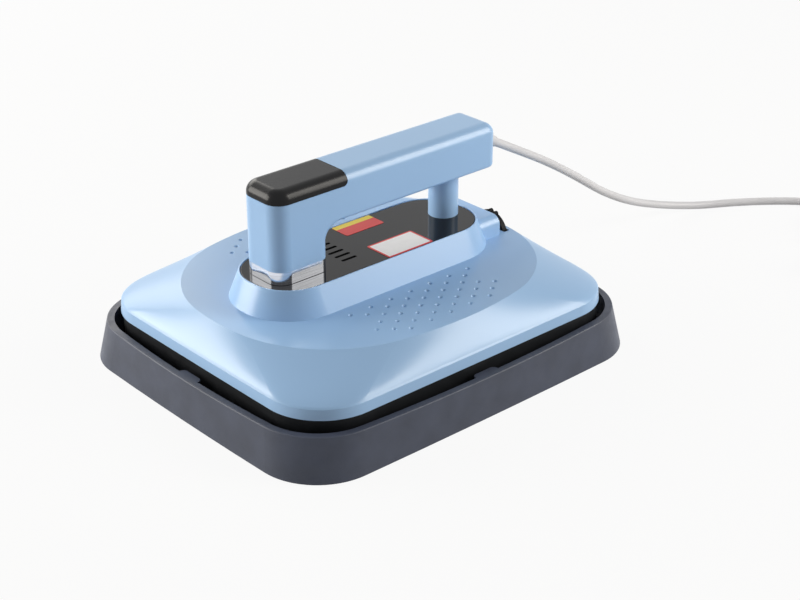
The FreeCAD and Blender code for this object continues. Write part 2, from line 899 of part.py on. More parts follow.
def terminal_screw_spots():
    middle = (terminal_front_y + terminal_rear_y) / 2
    return [(side * terminal_screw_x, middle) for side in (-1, 1)]


def terminal_block():
    top = lid_edge_z + terminal_height
    body = block(-terminal_half_x, terminal_half_x, terminal_front_y, terminal_rear_y, lid_edge_z, top)
    holes = [rod(screw_radius, x, y, lid_edge_z, lid_edge_z + thread_depth) for x, y in terminal_screw_spots()]
    return filleted(body, terminal_corner, upright).cut(group(holes))


def temperature_sensor():
    top = clamp_top_z + sensor_height
    body = block(-sensor_half_x, sensor_half_x, sensor_front_y, sensor_rear_y, clamp_top_z, top)
    middle = clamp_top_z + sensor_height / 2
    lead = rod_y(sensor_lead_radius, 0, middle, sensor_rear_y, sensor_rear_y + sensor_lead_length)
    return joined([filleted(body, edge_softening, upright), lead])


def sensor_clip():
    """A bridge over the sensor, with a foot on each side."""
    outer = sensor_half_x + clip_thickness
    top = clamp_top_z + sensor_height
    pieces = [block(-outer, outer, clip_front_y, clip_rear_y, top, top + clip_thickness)]
    for side in (-1, 1):
        near, far = sorted((side * sensor_half_x, side * outer))
        pieces.append(block(near, far, clip_front_y, clip_rear_y, clamp_top_z, top))
        near, far = sorted((side * sensor_half_x, side * (outer + clip_foot)))
        pieces.append(block(near, far, clip_front_y, clip_rear_y, clamp_top_z, clamp_top_z + clip_thickness))
    return joined(pieces)


def thermal_fuse():
    z = clamp_top_z + fuse_radius
    half, reach = fuse_half_length, fuse_half_length + fuse_wire_length
    body = rod_y(fuse_radius, fuse_x, z, -half, half)
    return joined([body, rod_y(fuse_wire_radius, fuse_x, z, -reach, reach)])


def cutout_thermostat():
    disc = rod(cutout_base_radius, cutout_x, 0, clamp_top_z, clamp_top_z + cutout_base_height)
    top = clamp_top_z + cutout_height
    cap = rod(cutout_cap_radius, cutout_x, 0, clamp_top_z, top)
    tabs = []
    for side in (-1, 1):
        x = cutout_x + side * cutout_tab_x
        low_x, high_x = x - clip_thickness / 2, x + clip_thickness / 2
        half = cutout_tab_half_width
        tabs.append(block(low_x, high_x, -half, half, top, top + cutout_tab_height))
    return joined([disc, cap, *tabs])


# ================================================================ lid
def lid_blank(thickness):
    """The lid's outer form, or its hollow if a wall thickness is given."""
    edge = inset(LID_EDGE, thickness)
    crease = inset(LID_CREASE, thickness)
    base_z = lid_edge_z - thickness
    band_z = lid_edge_z + lid_band_height - thickness
    top_z = lid_top_z - thickness
    band = inset(edge, lid_band_draft)
    shoulder = inset(band, lid_shoulder)
    shoulder_z = band_z + lid_shoulder
    wires = []
    for number in range(flank_sections + 1):
        share = number / flank_sections
        outline = between(shoulder, crease, share**flank_power)
        wires.append(bowed_wire(outline, shoulder_z + (top_z - shoulder_z) * share))
    lower = loft([bowed_wire(edge, base_z), bowed_wire(band, band_z)])
    middle = loft([bowed_wire(band, band_z), bowed_wire(shoulder, shoulder_z)])
    return joined([lower, middle, loft(wires, ruled=False)])


def dimples():
    """Conical vent dimples with a small hole, in staggered rows on both sides of the plinth."""
    cutters = []
    for row, count in enumerate(dimple_rows):
        for number in range(count):
            y = (number - (count - 1) / 2) * dimple_pitch_y
            for side in (-1, 1):
                x = side * (dimple_first_x + row * dimple_pitch_x)
                place = V(x, y, lid_top_z - dimple_depth)
                cutters.append(Part.makeCone(dimple_hole_radius, dimple_radius, dimple_depth, place))
                cutters.append(rod(dimple_hole_radius, x, y, lid_ceiling_z - 1, lid_top_z - dimple_depth))
    return group(cutters)


def dial_slot():
    """The opening in the lid that the dial's wheel stands in."""
    reach = dial_radius + dial_rib_height
    half = math.sqrt(reach**2 - (dial_drop - lid_wall) ** 2) + dial_slot_gap
    front, rear = dial_front_y - dial_slot_gap, dial_rear_y + dial_slot_gap
    centre = (dial_x, (front + rear) / 2)
    return round_prism(half, (rear - front) / 2, dial_slot_corner, lid_ceiling_z - 1, lid_top_z + 1, centre)


def lid_cover():
    outer = lid_blank(0)
    shell = outer.cut(lid_blank(lid_wall))
    bosses = group(rod(boss_radius, x, y, lid_edge_z, lid_top_z) for x, y in lid_boss_spots())
    shell = joined([shell, *bosses.common(outer).Solids])
    pilots = [rod(screw_radius, x, y, lid_edge_z, lid_edge_z + thread_depth) for x, y in lid_boss_spots()]
    spots = plinth_screw_spots() + pillar_screw_spots()
    through = [screw_hole(x, y, lid_ceiling_z - 1, lid_top_z + 1) for x, y in spots]
    through.append(rod(bolt_radius + slip_gap, 0, post_y, lid_ceiling_z - 1, lid_top_z + 1))
    lead_hole = rod(lead_hole_radius, 0, column_y, lid_ceiling_z - 1, lid_top_z + 1)
    return shell.cut(group(pilots + through)).cut(dimples()).cut(dial_slot()).cut(lead_hole)


# ================================================================ plinth
def plinth_screw_ys():
    return (-plinth_screw_reach, 0, plinth_screw_reach)


def plinth_screw_spots():
    return [(side * plinth_screw_x, y) for side in (-1, 1) for y in plinth_screw_ys()]


def pillar_screw_spots():
    dx = pillar_half_x + flange_margin / 2
    dy = pillar_half_y + flange_margin / 2
    return [(x, column_y + y) for x, y in mirrored_spots(dx, dy)]


def plinth_form(low_half_x, low_half_y, low_corner, high_half_x, high_half_y, high_corner, low, high):
    centre = (0, plinth_y)
    base = round_wire(low_half_x, low_half_y, low_corner, low, centre)
    crown = round_wire(high_half_x, high_half_y, high_corner, high, centre)
    return loft([base, crown])


def rear_block(shrink, low, top):
    """The block behind the plinth, with round upper edges along Y."""
    half = block_half_x - shrink
    corner = block_corner - shrink
    rear = block_rear_y - shrink
    form = block(-half, half, plinth_y, rear, low, top)
    return filleted(form, corner, lambda edge: along_y(edge) and edge.BoundBox.ZMin > top - 0.001)


def along_y(edge):
    box = edge.BoundBox
    return box.YLength > 1 and box.XLength < 0.001 and box.ZLength < 0.001


def handle_plinth():
    base = (plinth_base_half_x, plinth_base_half_y, plinth_base_corner)
    crown_inset = -plinth_rim
    crown = (panel_half_x - crown_inset, panel_half_y - crown_inset, panel_corner - crown_inset)
    outer = plinth_form(*base, *crown, lid_top_z, plinth_top_z)
    block_top = lid_top_z + block_height
    outer = outer.fuse(rear_block(0, lid_top_z, block_top))
    ledge_low = panel_bottom_z - ledge_thickness
    share = (ledge_low - lid_top_z) / plinth_height
    low_hollow = [size - plinth_wall for size in base]
    high_hollow = [a + (b - a) * share - plinth_wall for a, b in zip(base, crown)]
    hollow = plinth_form(*low_hollow, *high_hollow, lid_top_z, ledge_low)
    block_hollow = rear_block(plinth_wall, lid_top_z, block_top - plinth_wall)
    throat = round_prism(
        panel_half_x - panel_ledge, panel_half_y - panel_ledge, panel_corner - panel_ledge,
        ledge_low, panel_bottom_z, (0, plinth_y),
    )
    rebate = round_prism(
        panel_half_x + panel_gap, panel_half_y + panel_gap, panel_corner + panel_gap,
        panel_bottom_z, plinth_top_z, (0, plinth_y),
    )
    shell = outer.cut(hollow).cut(throat).cut(rebate)
    shell = shell.cut(block_hollow.cut(plinth_form(*base, *crown, lid_top_z, plinth_top_z)))
    bosses = [rod(boss_radius, x, y, lid_top_z, panel_bottom_z) for x, y in plinth_screw_spots()]
    shell = joined([shell, *[boss.common(outer) for boss in bosses]])
    pilots = [rod(screw_radius, x, y, lid_top_z, lid_top_z + thread_depth) for x, y in plinth_screw_spots()]
    shell = shell.cut(group(pilots))
    crest = plinth_top_z - 0.001
    return filleted(shell, plinth_edge, lambda edge: edge.BoundBox.ZMin > crest)


def plinth_screws():
    tip = lid_top_z + thread_depth - screw_tip_gap
    return group(screw(x, y, lid_ceiling_z, tip) for x, y in plinth_screw_spots())


def plinth_panel():
    panel = round_prism(panel_half_x, panel_half_y, panel_corner, panel_bottom_z, panel_top_z, (0, plinth_y))
    panel = filleted(panel, panel_edge, lambda edge: edge.BoundBox.ZMin > panel_top_z - 0.001)
    slots = []
    for number in range(vent_count):
        x = (number - (vent_count - 1) / 2) * vent_pitch
        half_length = (vent_rear_y - vent_front_y) / 2
        centre = (x, (vent_rear_y + vent_front_y) / 2)
        half, corner = vent_width / 2, vent_width / 2 * 0.98
        slots.append(round_prism(half, half_length, corner, panel_bottom_z, panel_top_z, centre))
    foot = round_prism(
        pillar_half_x + seat_gap, pillar_half_y + seat_gap, pillar_corner + seat_gap,
        panel_bottom_z, panel_top_z, (0, column_y),
    )
    bolt = rod(bolt_radius + slip_gap, 0, post_y, panel_bottom_z, panel_top_z)
    return panel.cut(group(slots + [foot, bolt]))


def label(centre, half):
    return round_prism(*half, label_corner, panel_top_z, panel_top_z + label_thickness, centre)


def backing_plate():
    centre = (0, (backing_front_y + backing_rear_y) / 2)
    half_y = (backing_rear_y - backing_front_y) / 2
    plate = round_prism(backing_half_x, half_y, backing_corner, backing_bottom_z, lid_ceiling_z, centre)
    holes = [screw_hole(x, y, backing_bottom_z, lid_ceiling_z) for x, y in pillar_screw_spots()]
    holes.append(rod(bolt_radius + slip_gap, 0, post_y, backing_bottom_z, lid_ceiling_z))
    holes.append(rod(lead_hole_radius, 0, column_y, backing_bottom_z, lid_ceiling_z))
    return plate.cut(group(holes))


def front_pillar():
    """A rectangular tube with a flange at its foot and a thick top."""
    centre = (0, column_y)
    flange_top = lid_top_z + flange_thickness
    spread_x, spread_y = pillar_half_x + flange_margin, pillar_half_y + flange_margin
    flange = round_prism(spread_x, spread_y, pillar_corner, lid_top_z, flange_top, centre)
    stem = round_prism(pillar_half_x, pillar_half_y, pillar_corner, lid_top_z, web_bottom_z, centre)
    inner_x, inner_y = pillar_half_x - pillar_wall, pillar_half_y - pillar_wall
    inner_corner = max(pillar_corner - pillar_wall, 0.4)
    top_low = web_bottom_z - pillar_top
    bore = round_prism(inner_x, inner_y, inner_corner, lid_top_z, top_low, centre)
    holes = [rod(screw_radius, x, y, top_low, web_bottom_z) for x, y in handle_screw_spots()]
    holes += [rod(screw_radius, x, y, lid_top_z, flange_top) for x, y in pillar_screw_spots()]
    holes.append(rod(web_hole_radius, 0, column_y, top_low, web_bottom_z))
    return joined([flange, stem]).cut(bore).cut(group(holes))


def pillar_screws():
    tip = lid_top_z + flange_thickness
    return group(screw(x, y, backing_bottom_z, tip) for x, y in pillar_screw_spots())


def handle_screw_spots():
    return [(0, column_y - handle_screw_y), (0, column_y + handle_screw_y)]


def handle_screws():
    tip = web_bottom_z - handle_screw_depth
    return group(screw(x, y, web_top_z, tip) for x, y in handle_screw_spots())


# ================================================================ handle
def column_prism(shrink, low, high):
    """The column's plan as a block, with wider corners at the front than at the rear."""
    half = handle_half_x - shrink
    front, rear = column_front_y + shrink, column_rear_y - shrink
    form = block(-half, half, front, rear, low, high)
    form = filleted(form, column_corner - shrink, lambda e: upright(e) and at_y(e, front))
    return filleted(form, column_rear_corner - shrink, lambda e: upright(e) and at_y(e, rear))


def at_y(edge, y):
    return abs(edge.Vertexes[0].Point.y - y) < 0.001


def side_profile(shrink, low):
    """The handle's outline in the YZ plane: column, arch and beam."""
    front, rear = column_front_y + shrink, beam_rear_y - shrink
    inner = column_rear_y - shrink
    under, top = beam_bottom_z + shrink, handle_top_z - shrink
    radius = arch_radius + shrink
    centre_y, centre_z = inner + radius, under - radius
    diagonal = radius * math.sqrt(0.5)
    spring = V(0, inner, centre_z)
    crown = V(0, centre_y, under)
    middle = V(0, centre_y - diagonal, centre_z + diagonal)
    corners = [crown, V(0, rear, under), V(0, rear, top), V(0, front, top)]
    corners += [V(0, front, low), V(0, inner, low), spring]
    edges = [Part.LineSegment(a, b).toShape() for a, b in zip(corners, corners[1:])]
    edges.append(arc([spring, middle, crown]))
    return Part.Face(Part.Wire(edges))


def handle_blank(shrink, low):
    """The whole handle's form, cap included, before it is hollowed and split."""
    half = handle_half_x - shrink
    face = side_profile(shrink, low)
    form = face.extrude(V(half, 0, 0)).fuse(face.extrude(V(-half, 0, 0))).removeSplitter()
    front_corner = column_corner - shrink
    rear_corner = beam_rear_corner - shrink
    form = filleted(form, front_corner, lambda e: upright(e) and e.Vertexes[0].Point.y < column_y)
    form = filleted(form, rear_corner, lambda e: upright(e) and e.Vertexes[0].Point.y > post_y)
    top = handle_top_z - shrink - 0.001
    form = filleted(form, handle_top_edge - shrink, lambda e: e.BoundBox.ZMin > top)
    return form


def soften_arch(form):
    """Rounds the column's rear edges, the arch and the beam's lower edges as one run that narrows upwards."""
    radii = {}
    for number, edge in enumerate(form.Edges, start=1):
        box = edge.BoundBox
        on_side = abs(abs(box.XMin) - handle_half_x) < 0.001 and box.XLength < 0.001
        if not on_side:
            continue
        if box.YLength < 0.001 and abs(box.YMin - column_rear_y) < 0.001:
            radii[number] = (column_rear_corner, column_rear_corner)
        elif box.ZLength > 1 and box.YLength > 1 and box.ZMax < beam_bottom_z + 0.001:
            radii[number] = (column_rear_corner, beam_lower_edge)
        elif box.ZLength < 0.001 and abs(box.ZMin - beam_bottom_z) < 0.001:
            radii[number] = (beam_lower_edge, beam_lower_edge)
    return radii


def handle_form():
    form = handle_blank(0, ring_top_z)
    radii = soften_arch(form)
    document = FreeCAD.newDocument("handle")
    source = document.addObject("Part::Feature", "blank")
    source.Shape = form
    softened = document.addObject("Part::Fillet", "softened")
    softened.Base = source
    edges = []
    for number, (first, last) in radii.items():
        edge = form.Edges[number - 1]
        rises = edge.Vertexes[0].Point.z < edge.Vertexes[-1].Point.z - 0.001
        edges.append((number, last, first) if rises else (number, first, last))
    softened.Edges = edges
    document.recompute()
    shape = softened.Shape.copy()
    FreeCAD.closeDocument(document.Name)
    return shape


HANDLE = handle_form()


def cap_space(gap):
    """The corner of the handle that the control cap takes, with a round lower rear edge."""
    rear, low = cap_rear_y + gap, cap_low_z - gap
    half = handle_half_x + 1
    space = block(-half, half, column_front_y - 1, rear, low, handle_top_z + 1)
    across = [e for e in space.Edges if e.BoundBox.XLength > half and at_y(e, rear)]
    return space.makeFillet(cap_corner + gap, [e for e in across if e.BoundBox.ZMax < low + 0.001])


def beam_cavity():
    """The handle's hollow above its web."""
    shrink = handle_wall
    half = handle_half_x - shrink
    front, rear = column_front_y + shrink, beam_rear_y - shrink
    top = handle_top_z - shrink
    form = block(-half, half, front, rear, web_top_z, top)
    form = filleted(form, column_corner - shrink, lambda e: upright(e) and at_y(e, front))
    form = filleted(form, beam_rear_corner - shrink, lambda e: upright(e) and at_y(e, rear))
    return filleted(form, handle_top_edge - shrink, lambda e: e.BoundBox.ZMin > top - 0.001)


def cover_screw_spots():
    return [(x, y) for x in (-cover_screw_x, cover_screw_x) for y in cover_screw_ys()]


def cover_screw_ys():
    return (cover_front_y + cover_screw_inset, cover_rear_y - cover_screw_inset)


def cover_outline(gap, low, high):
    centre = (0, (cover_front_y + cover_rear_y) / 2)
    half_y = (cover_rear_y - cover_front_y) / 2
    return round_prism(cover_half_x + gap, half_y + gap, cover_corner + gap, low, high, centre)


def clamp_screw_spots():
    middle = (clamp_front_y + clamp_rear_y) / 2
    return [(side * clamp_screw_x, middle) for side in (-1, 1)]


def handle_shell():
    inner_x = handle_half_x - handle_wall
    shell = HANDLE.cut(cap_space(seam_gap)).cut(beam_cavity())
    shell = shell.cut(column_prism(handle_wall, ring_top_z, web_bottom_z))
    shell = shell.cut(cover_outline(slip_gap, beam_bottom_z, web_top_z))
    posts = []
    for x, y in cover_screw_spots():
        near, far = sorted((x, math.copysign(inner_x + handle_wall / 2, x)))
        top, half = web_top_z + cover_post_height, post_rib_width / 2
        posts.append(rod(cover_post_radius, x, y, web_top_z, top))
        posts.append(block(near, far, y - half, y + half, web_top_z, top))
    seat_top = relief_z - clamp_gap / 2
    seat_low = beam_bottom_z + handle_wall / 2
    posts.append(block(-clamp_half_x, clamp_half_x, clamp_front_y, clamp_rear_y, seat_low, seat_top))
    shell = joined([shell, *posts])
    thread_top, thread_low = web_top_z + small_thread_depth, seat_top - small_thread_depth
    holes = [rod(small_screw_radius, x, y, web_top_z, thread_top) for x, y in cover_screw_spots()]
    holes += [rod(small_screw_radius, x, y, thread_low, seat_top) for x, y in clamp_screw_spots()]
    holes += [screw_hole(x, y, web_bottom_z, web_top_z) for x, y in handle_screw_spots()]
    holes.append(rod(web_hole_radius, 0, column_y, web_bottom_z, web_top_z))
    holes.append(rod(bolt_radius + slip_gap, 0, post_y, beam_bottom_z, web_top_z))
    shell = shell.cut(group(holes))
    shell = shell.cut(rod_y(core_radius, 0, relief_z, clamp_front_y - 1, clamp_rear_y + 1))
    return shell.cut(rod_y(relief_neck_radius, 0, relief_z, beam_rear_y - handle_wall - 1, beam_rear_y + 1))


def board_posts(x, ys, low, high):
    return [rod(board_post_radius, side * x, y, low, high) for side in (-1, 1) for y in ys]


def board_threads(x, ys, low, high):
    return group(rod(small_screw_radius, side * x, y, low, high) for side in (-1, 1) for y in ys)


def handle_underside():
    plate = cover_outline(0, beam_bottom_z, web_top_z)
    posts = board_posts(control_post_x, control_post_ys, web_top_z, control_board_low_z)
    cover = joined([plate, *posts])
    cover = cover.cut(board_threads(control_post_x, control_post_ys, web_top_z, control_board_low_z))
    sink = beam_bottom_z + small_head_height
    holes = [screw_hole(x, y, beam_bottom_z, web_top_z, SMALL_SCREW) for x, y in cover_screw_spots()]
    radius = small_head_radius + screw_clearance
    holes += [rod(radius, x, y, beam_bottom_z, sink) for x, y in cover_screw_spots()]
    return cover.cut(group(holes))


def underside_screws():
    head, tip = beam_bottom_z + small_head_height, web_top_z + small_thread_depth - screw_tip_gap
    return group(screw(x, y, head, tip, SMALL_SCREW) for x, y in cover_screw_spots())


def display_cap():
    """A thin shell with a thicker border, and a tongue that enters the handle."""
    tongue_inset = handle_wall + slip_gap
    tongue_space = cap_box(tongue_height, cap_low_z - tongue_height)
    room = handle_blank(cap_wall, ring_top_z).common(cap_box(-tongue_height, cap_low_z + tongue_height))
    tongue = handle_blank(tongue_inset, ring_top_z).common(tongue_space)
    inner = handle_blank(tongue_inset + tongue_wall, ring_top_z).common(tongue_space)
    cap = HANDLE.common(cap_space(0)).fuse(tongue).cut(inner).cut(room)
    posts = board_posts(display_post_x, display_post_ys, display_board_top_z, cap_ceiling_z + cap_wall / 2)
    threads_top = display_board_top_z + board_thread
    threads = board_threads(display_post_x, display_post_ys, display_board_top_z, threads_top)
    return joined([cap, *posts]).cut(threads)


def cap_box(reach, low):
    """All of the handle's front above a height, to a reach behind the cap's rear edge."""
    half = handle_half_x + 1
    return block(-half, half, column_front_y - 1, cap_rear_y + reach, low, handle_top_z + 1)


def display_board():
    centre = (0, (display_board_front_y + display_board_rear_y) / 2)
    half_y = (display_board_rear_y - display_board_front_y) / 2
    low, top = display_board_low_z, display_board_top_z
    board = round_prism(display_board_half_x, half_y, display_corner, low, top, centre)
    spots = [(side * display_post_x, y) for side in (-1, 1) for y in display_post_ys]
    holes = [screw_hole(x, y, low, top, SMALL_SCREW) for x, y in spots]
    return board.cut(group(holes))


def display_module():
    """A two-digit display block, with a sunk window for each digit."""
    top = display_board_top_z + display_module_height
    body = block(-module_half_x, module_half_x, module_front_y, module_rear_y, display_board_top_z, top)
    front, rear = module_front_y + digit_border, module_rear_y - digit_border
    windows = []
    for side in (-1, 1):
        near, far = sorted((side * digit_border / 2, side * (module_half_x - digit_border)))
        windows.append(block(near, far, front, rear, top - digit_recess, top))
    return body.cut(group(windows))


def touch_springs():
    return group(rod(spring_radius, x, y, display_board_top_z, cap_ceiling_z) for x, y in spring_spots)


def control_board():
    centre = (0, (control_board_front_y + control_board_rear_y) / 2)
    half_y = (control_board_rear_y - control_board_front_y) / 2
    low, top = control_board_low_z, control_board_top_z
    board = round_prism(control_board_half_x, half_y, board_corner, low, top, centre)
    spots = [(side * control_post_x, y) for side in (-1, 1) for y in control_post_ys]
    holes = [screw_hole(x, y, low, top, SMALL_SCREW) for x, y in spots]
    return board.cut(group(holes))


def board_screws():
    tip = control_board_low_z - board_screw_depth
    pieces = [screw(side * control_post_x, y, control_board_top_z, tip, SMALL_SCREW)
              for side in (-1, 1) for y in control_post_ys]
    return group(pieces)


def display_screws():
    tip = display_board_top_z + board_thread - seat_gap
    pieces = [screw(side * display_post_x, y, display_board_low_z, tip, SMALL_SCREW)
              for side in (-1, 1) for y in display_post_ys]
    return group(pieces)


def power_parts():
    """Connectors, relay, transformer, capacitor, triac and chip on the control board."""
    low, start = control_board_top_z, control_board_front_y
    shapes = []
    for x0, x1, y0, y1, height in POWER_BLOCKS:
        shapes.append(block(x0, x1, start + y0, start + y1, low, low + height))
    top, front, rear = low + connector_height, front_connector_y(), rear_connector_y()
    shapes.append(block(-connector_half_x, connector_half_x, front, front + front_connector_length, low, top))
    shapes.append(block(-connector_half_x, connector_half_x, rear - rear_connector_length, rear, low, top))
    capacitor_x, capacitor_y = capacitor_place
    shapes.append(rod(capacitor_radius, capacitor_x, start + capacitor_y, low, low + capacitor_height))
    return group(shapes)


def front_connector_y():
    return control_board_front_y + connector_inset


def rear_connector_y():
    return control_board_rear_y - connector_inset


def heater_leads():
    """Three leads from the control board down the pillar, and two from the terminal block to the heater."""
    middle_z = control_board_top_z + connector_height / 2
    start_y = front_connector_y()
    pieces = []
    for x in lead_spots:
        points = [V(x, start_y, middle_z), V(x, column_y, middle_z)]
        points += [V(x, column_y, lead_low_z), V(x, terminal_rear_y, lead_low_z)]
        pieces.append(tube(rounded_path(points, lead_turn), lead_radius))
    stud_top = plate_top_z + bead_height + stud_height
    for (x, y), end_y in zip(bead_spots(), (terminal_front_y, terminal_rear_y)):
        points = [V(x, y, stud_top), V(x, y, lead_low_z), V(x, end_y, lead_low_z)]
        pieces.append(tube(rounded_path(points, stud_turn), lead_radius))
    return group(pieces)


def lead_turn(before, after, turn):
    return lead_bend


def stud_turn(before, after, turn):
    return lead_bend / 2


def supply_lead():
    start_y = beam_rear_y - handle_wall - relief_flange
    end_y = rear_connector_y()
    low = control_board_top_z + connector_height / 2
    points = [V(0, start_y, relief_z), V(0, supply_fall_y, relief_z)]
    points += [V(0, end_y + supply_straight, low), V(0, end_y, low)]
    return tube(rounded_path(points, shorter_run), core_radius)


def shorter_run(before, after, turn):
    """The radius that lets an arc take 0.45 of the shorter of its two runs."""
    return 0.45 * min(before, after) / math.tan(turn / 2)


def cord_clamp():
    low = relief_z + clamp_gap / 2
    saddle = block(-clamp_half_x, clamp_half_x, clamp_front_y, clamp_rear_y, low, low + clamp_height)
    saddle = saddle.cut(rod_y(core_radius, 0, relief_z, clamp_front_y - 1, clamp_rear_y + 1))
    holes = [screw_hole(x, y, low, low + clamp_height, SMALL_SCREW) for x, y in clamp_screw_spots()]
    return saddle.cut(group(holes))


def clamp_screws():
    head = relief_z + clamp_gap / 2 + clamp_height
    tip = relief_z - clamp_gap / 2 - small_thread_depth + screw_tip_gap
    return group(screw(x, y, head, tip, SMALL_SCREW) for x, y in clamp_screw_spots())


def strain_relief():
    """Neck and flange inside the handle's rear wall, and a curved boot that tapers to the cord."""
    inner_y = beam_rear_y - handle_wall
    neck = rod_y(relief_neck_radius, 0, relief_z, inner_y, beam_rear_y)
    flange = rod_y(relief_flange_radius, 0, relief_z, inner_y - relief_flange, inner_y)
    tip, follow = V(*CORD_ROUTE[0]), V(*CORD_ROUTE[1])
    heading = (follow - tip).normalize()
    base = V(0, beam_rear_y, relief_z)
    reach = (tip - base).Length / 3
    controls = [base, base + V(0, reach, 0), tip - heading * reach, tip]
    sections = []
    for number in range(relief_stations):
        share = number / (relief_stations - 1)
        radius = relief_base_radius + (relief_tip_radius - relief_base_radius) * share**0.8
        place, direction = on_bezier(controls, share)
        sections.append(Part.Wire(Part.makeCircle(radius, place, direction)))
    return joined([flange, neck, loft(sections, ruled=False)])


def on_bezier(controls, t):
    """The place and heading at t on a cubic Bezier curve."""
    a, b, c, d = controls
    place = a * (1 - t) ** 3 + b * (3 * t * (1 - t) ** 2) + c * (3 * t**2 * (1 - t)) + d * t**3
    heading = (b - a) * (1 - t) ** 2 + (c - b) * (2 * t * (1 - t)) + (d - c) * t**2
    return place, heading


def column_trim_ring():
    outer = column_prism(ring_inset, panel_top_z, ring_top_z)
    outer = filleted(outer, ring_edge, lambda edge: edge.BoundBox.ZMax < panel_top_z + 0.001)
    return outer.cut(column_prism(ring_inset + ring_wall, panel_top_z, ring_top_z))


def rear_post():
    post = rod(post_radius, 0, post_y, panel_top_z, beam_bottom_z)
    return post.cut(rod(post_radius - post_wall, 0, post_y, panel_top_z, beam_bottom_z))


def post_spacer():
    spacer = rod(post_radius, 0, post_y, lid_top_z, panel_bottom_z)
    return spacer.cut(rod(bolt_radius + slip_gap, 0, post_y, lid_top_z, panel_bottom_z))


def hexagon(radius, low, high):
    corners = [V(radius * math.cos(math.radians(60 * n)), radius * math.sin(math.radians(60 * n)) + post_y, low)
               for n in range(6)]
    return Part.Face(Part.makePolygon(corners + corners[:1])).extrude(V(0, 0, high - low))


def post_bolt():
    head = hexagon(bolt_head_radius, backing_bottom_z - bolt_head_height, backing_bottom_z)
    shank = rod(bolt_radius, 0, post_y, backing_bottom_z, web_top_z + nut_height + bolt_end)
    return joined([head, shank])


def post_nut():
    nut = hexagon(bolt_head_radius, web_top_z, web_top_z + nut_height)
    return nut.cut(rod(bolt_radius, 0, post_y, web_top_z, web_top_z + nut_height))


# ================================================================ dial
def dial_wheel():
    wheel = rod_y(dial_radius, dial_x, dial_z, dial_front_y, dial_rear_y)
    ribs = []
    for turn in (0, 180):
        for angle in dial_rib_angles:
            direction = math.radians(angle + turn)
            reach = dial_radius + dial_rib_height - dial_rib_radius
            x, z = dial_x + reach * math.cos(direction), dial_z + reach * math.sin(direction)
            ribs.append(rod_y(dial_rib_radius, x, z, dial_front_y, dial_rear_y))
    wheel = joined([wheel, *ribs])
    wheel = filleted(wheel, dial_edge, lambda e: e.BoundBox.YLength < 0.001)
    return wheel.cut(rod_y(spindle_radius, dial_x, dial_z, dial_front_y - 1, dial_rear_y + 1))


def ear_faces():
    """Front and rear faces of the bracket's two ears."""
    front_low = dial_front_y - ear_gap - ear_thickness
    rear_low = dial_rear_y + ear_gap
    return (front_low, front_low + ear_thickness), (rear_low, rear_low + ear_thickness)


def bracket_pegs():
    spots = [(dial_x + side * bracket_peg_x, dial_y) for side in (-1, 1)]
    return [rod(bracket_peg_radius, x, y, deck_bottom_z, lid_edge_z) for x, y in spots]


def dial_bracket():
    (front, _), (_, rear) = ear_faces()
    base_top = lid_edge_z + bracket_base
    left, right = dial_x - bracket_half_width, dial_x + bracket_half_width
    pieces = [block(left, right, front, rear, lid_edge_z, base_top), *bracket_pegs()]
    ear_radius = spindle_radius + ear_margin
    for low, high in ear_faces():
        left_x, right_x = dial_x - ear_half_width, dial_x + ear_half_width
        pieces.append(block(left_x, right_x, low, high, base_top, dial_z - ear_shoulder))
        pieces.append(block(dial_x - ear_radius, dial_x + ear_radius, low, high, base_top, dial_z))
        pieces.append(rod_y(ear_radius, dial_x, dial_z, low, high))
    hole = rod_y(spindle_radius + running_gap, dial_x, dial_z, front - 1, rear + 1)
    return joined(pieces).cut(hole)


def spindle_front():
    (front, _), _ = ear_faces()
    return front - bushing_length - potentiometer_length / 2


def dial_spindle():
    _, (_, rear) = ear_faces()
    keeper_front = rear + seat_gap
    shaft = rod_y(spindle_radius, dial_x, dial_z, spindle_front(), keeper_front)
    keeper = rod_y(keeper_radius, dial_x, dial_z, keeper_front, keeper_front + keeper_length)
    return joined([shaft, keeper])


def dial_potentiometer():
    (front, _), _ = ear_faces()
    body_rear = front - bushing_length
    body_front = body_rear - potentiometer_length
    low, top = dial_z - potentiometer_depth, dial_z + spindle_radius + ear_margin
    half = potentiometer_half_width
    body = block(dial_x - half, dial_x + half, body_front, body_rear, low, top)
    bushing = rod_y(bushing_radius, dial_x, dial_z, body_rear, front)
    pins = []
    for number in (-1, 0, 1):
        x = dial_x + number * potentiometer_pin_pitch
        half = potentiometer_pin_half
        near, far = body_rear - 4 * half, body_rear - 2 * half
        pins.append(block(x - half, x + half, near, far, low - potentiometer_pin_length, low))
    bore = rod_y(spindle_radius + running_gap, dial_x, dial_z, spindle_front() - seat_gap, front)
    return joined([body, bushing, *pins]).cut(bore)


# ================================================================ cord, coil and plug
coil_low_z = tie_thickness
coil_high_z = coil_low_z + 2 * cord_radius * coil_layers
coil_top_turn_z = coil_high_z - cord_radius


def cord_tube():
    path = rounded_path([V(*point) for point in CORD_ROUTE], printed_radius)
    cord = tube(path, cord_radius)
    expected = math.pi * cord_radius**2 * path.Length
    print(f"cord length {path.Length:.1f}, volume {cord.Volume:.0f}, section times length {expected:.0f}")
    return cord


def printed_radius(before, after, turn):
    radius = shorter_run(before, after, turn)
    print(f"cord turn {math.degrees(turn):.1f} degrees, radius {radius:.0f}")
    return radius


def coil_frame(angle):
    """Outward and travelling directions on the coil, which is wound clockwise seen from above."""
    turn = math.radians(angle)
    outward = V(math.cos(turn), math.sin(turn), 0)
    return outward, V(outward.y, -outward.x, 0)


def coil_centre_at(z):
    return V(coil_centre[0], coil_centre[1], z)


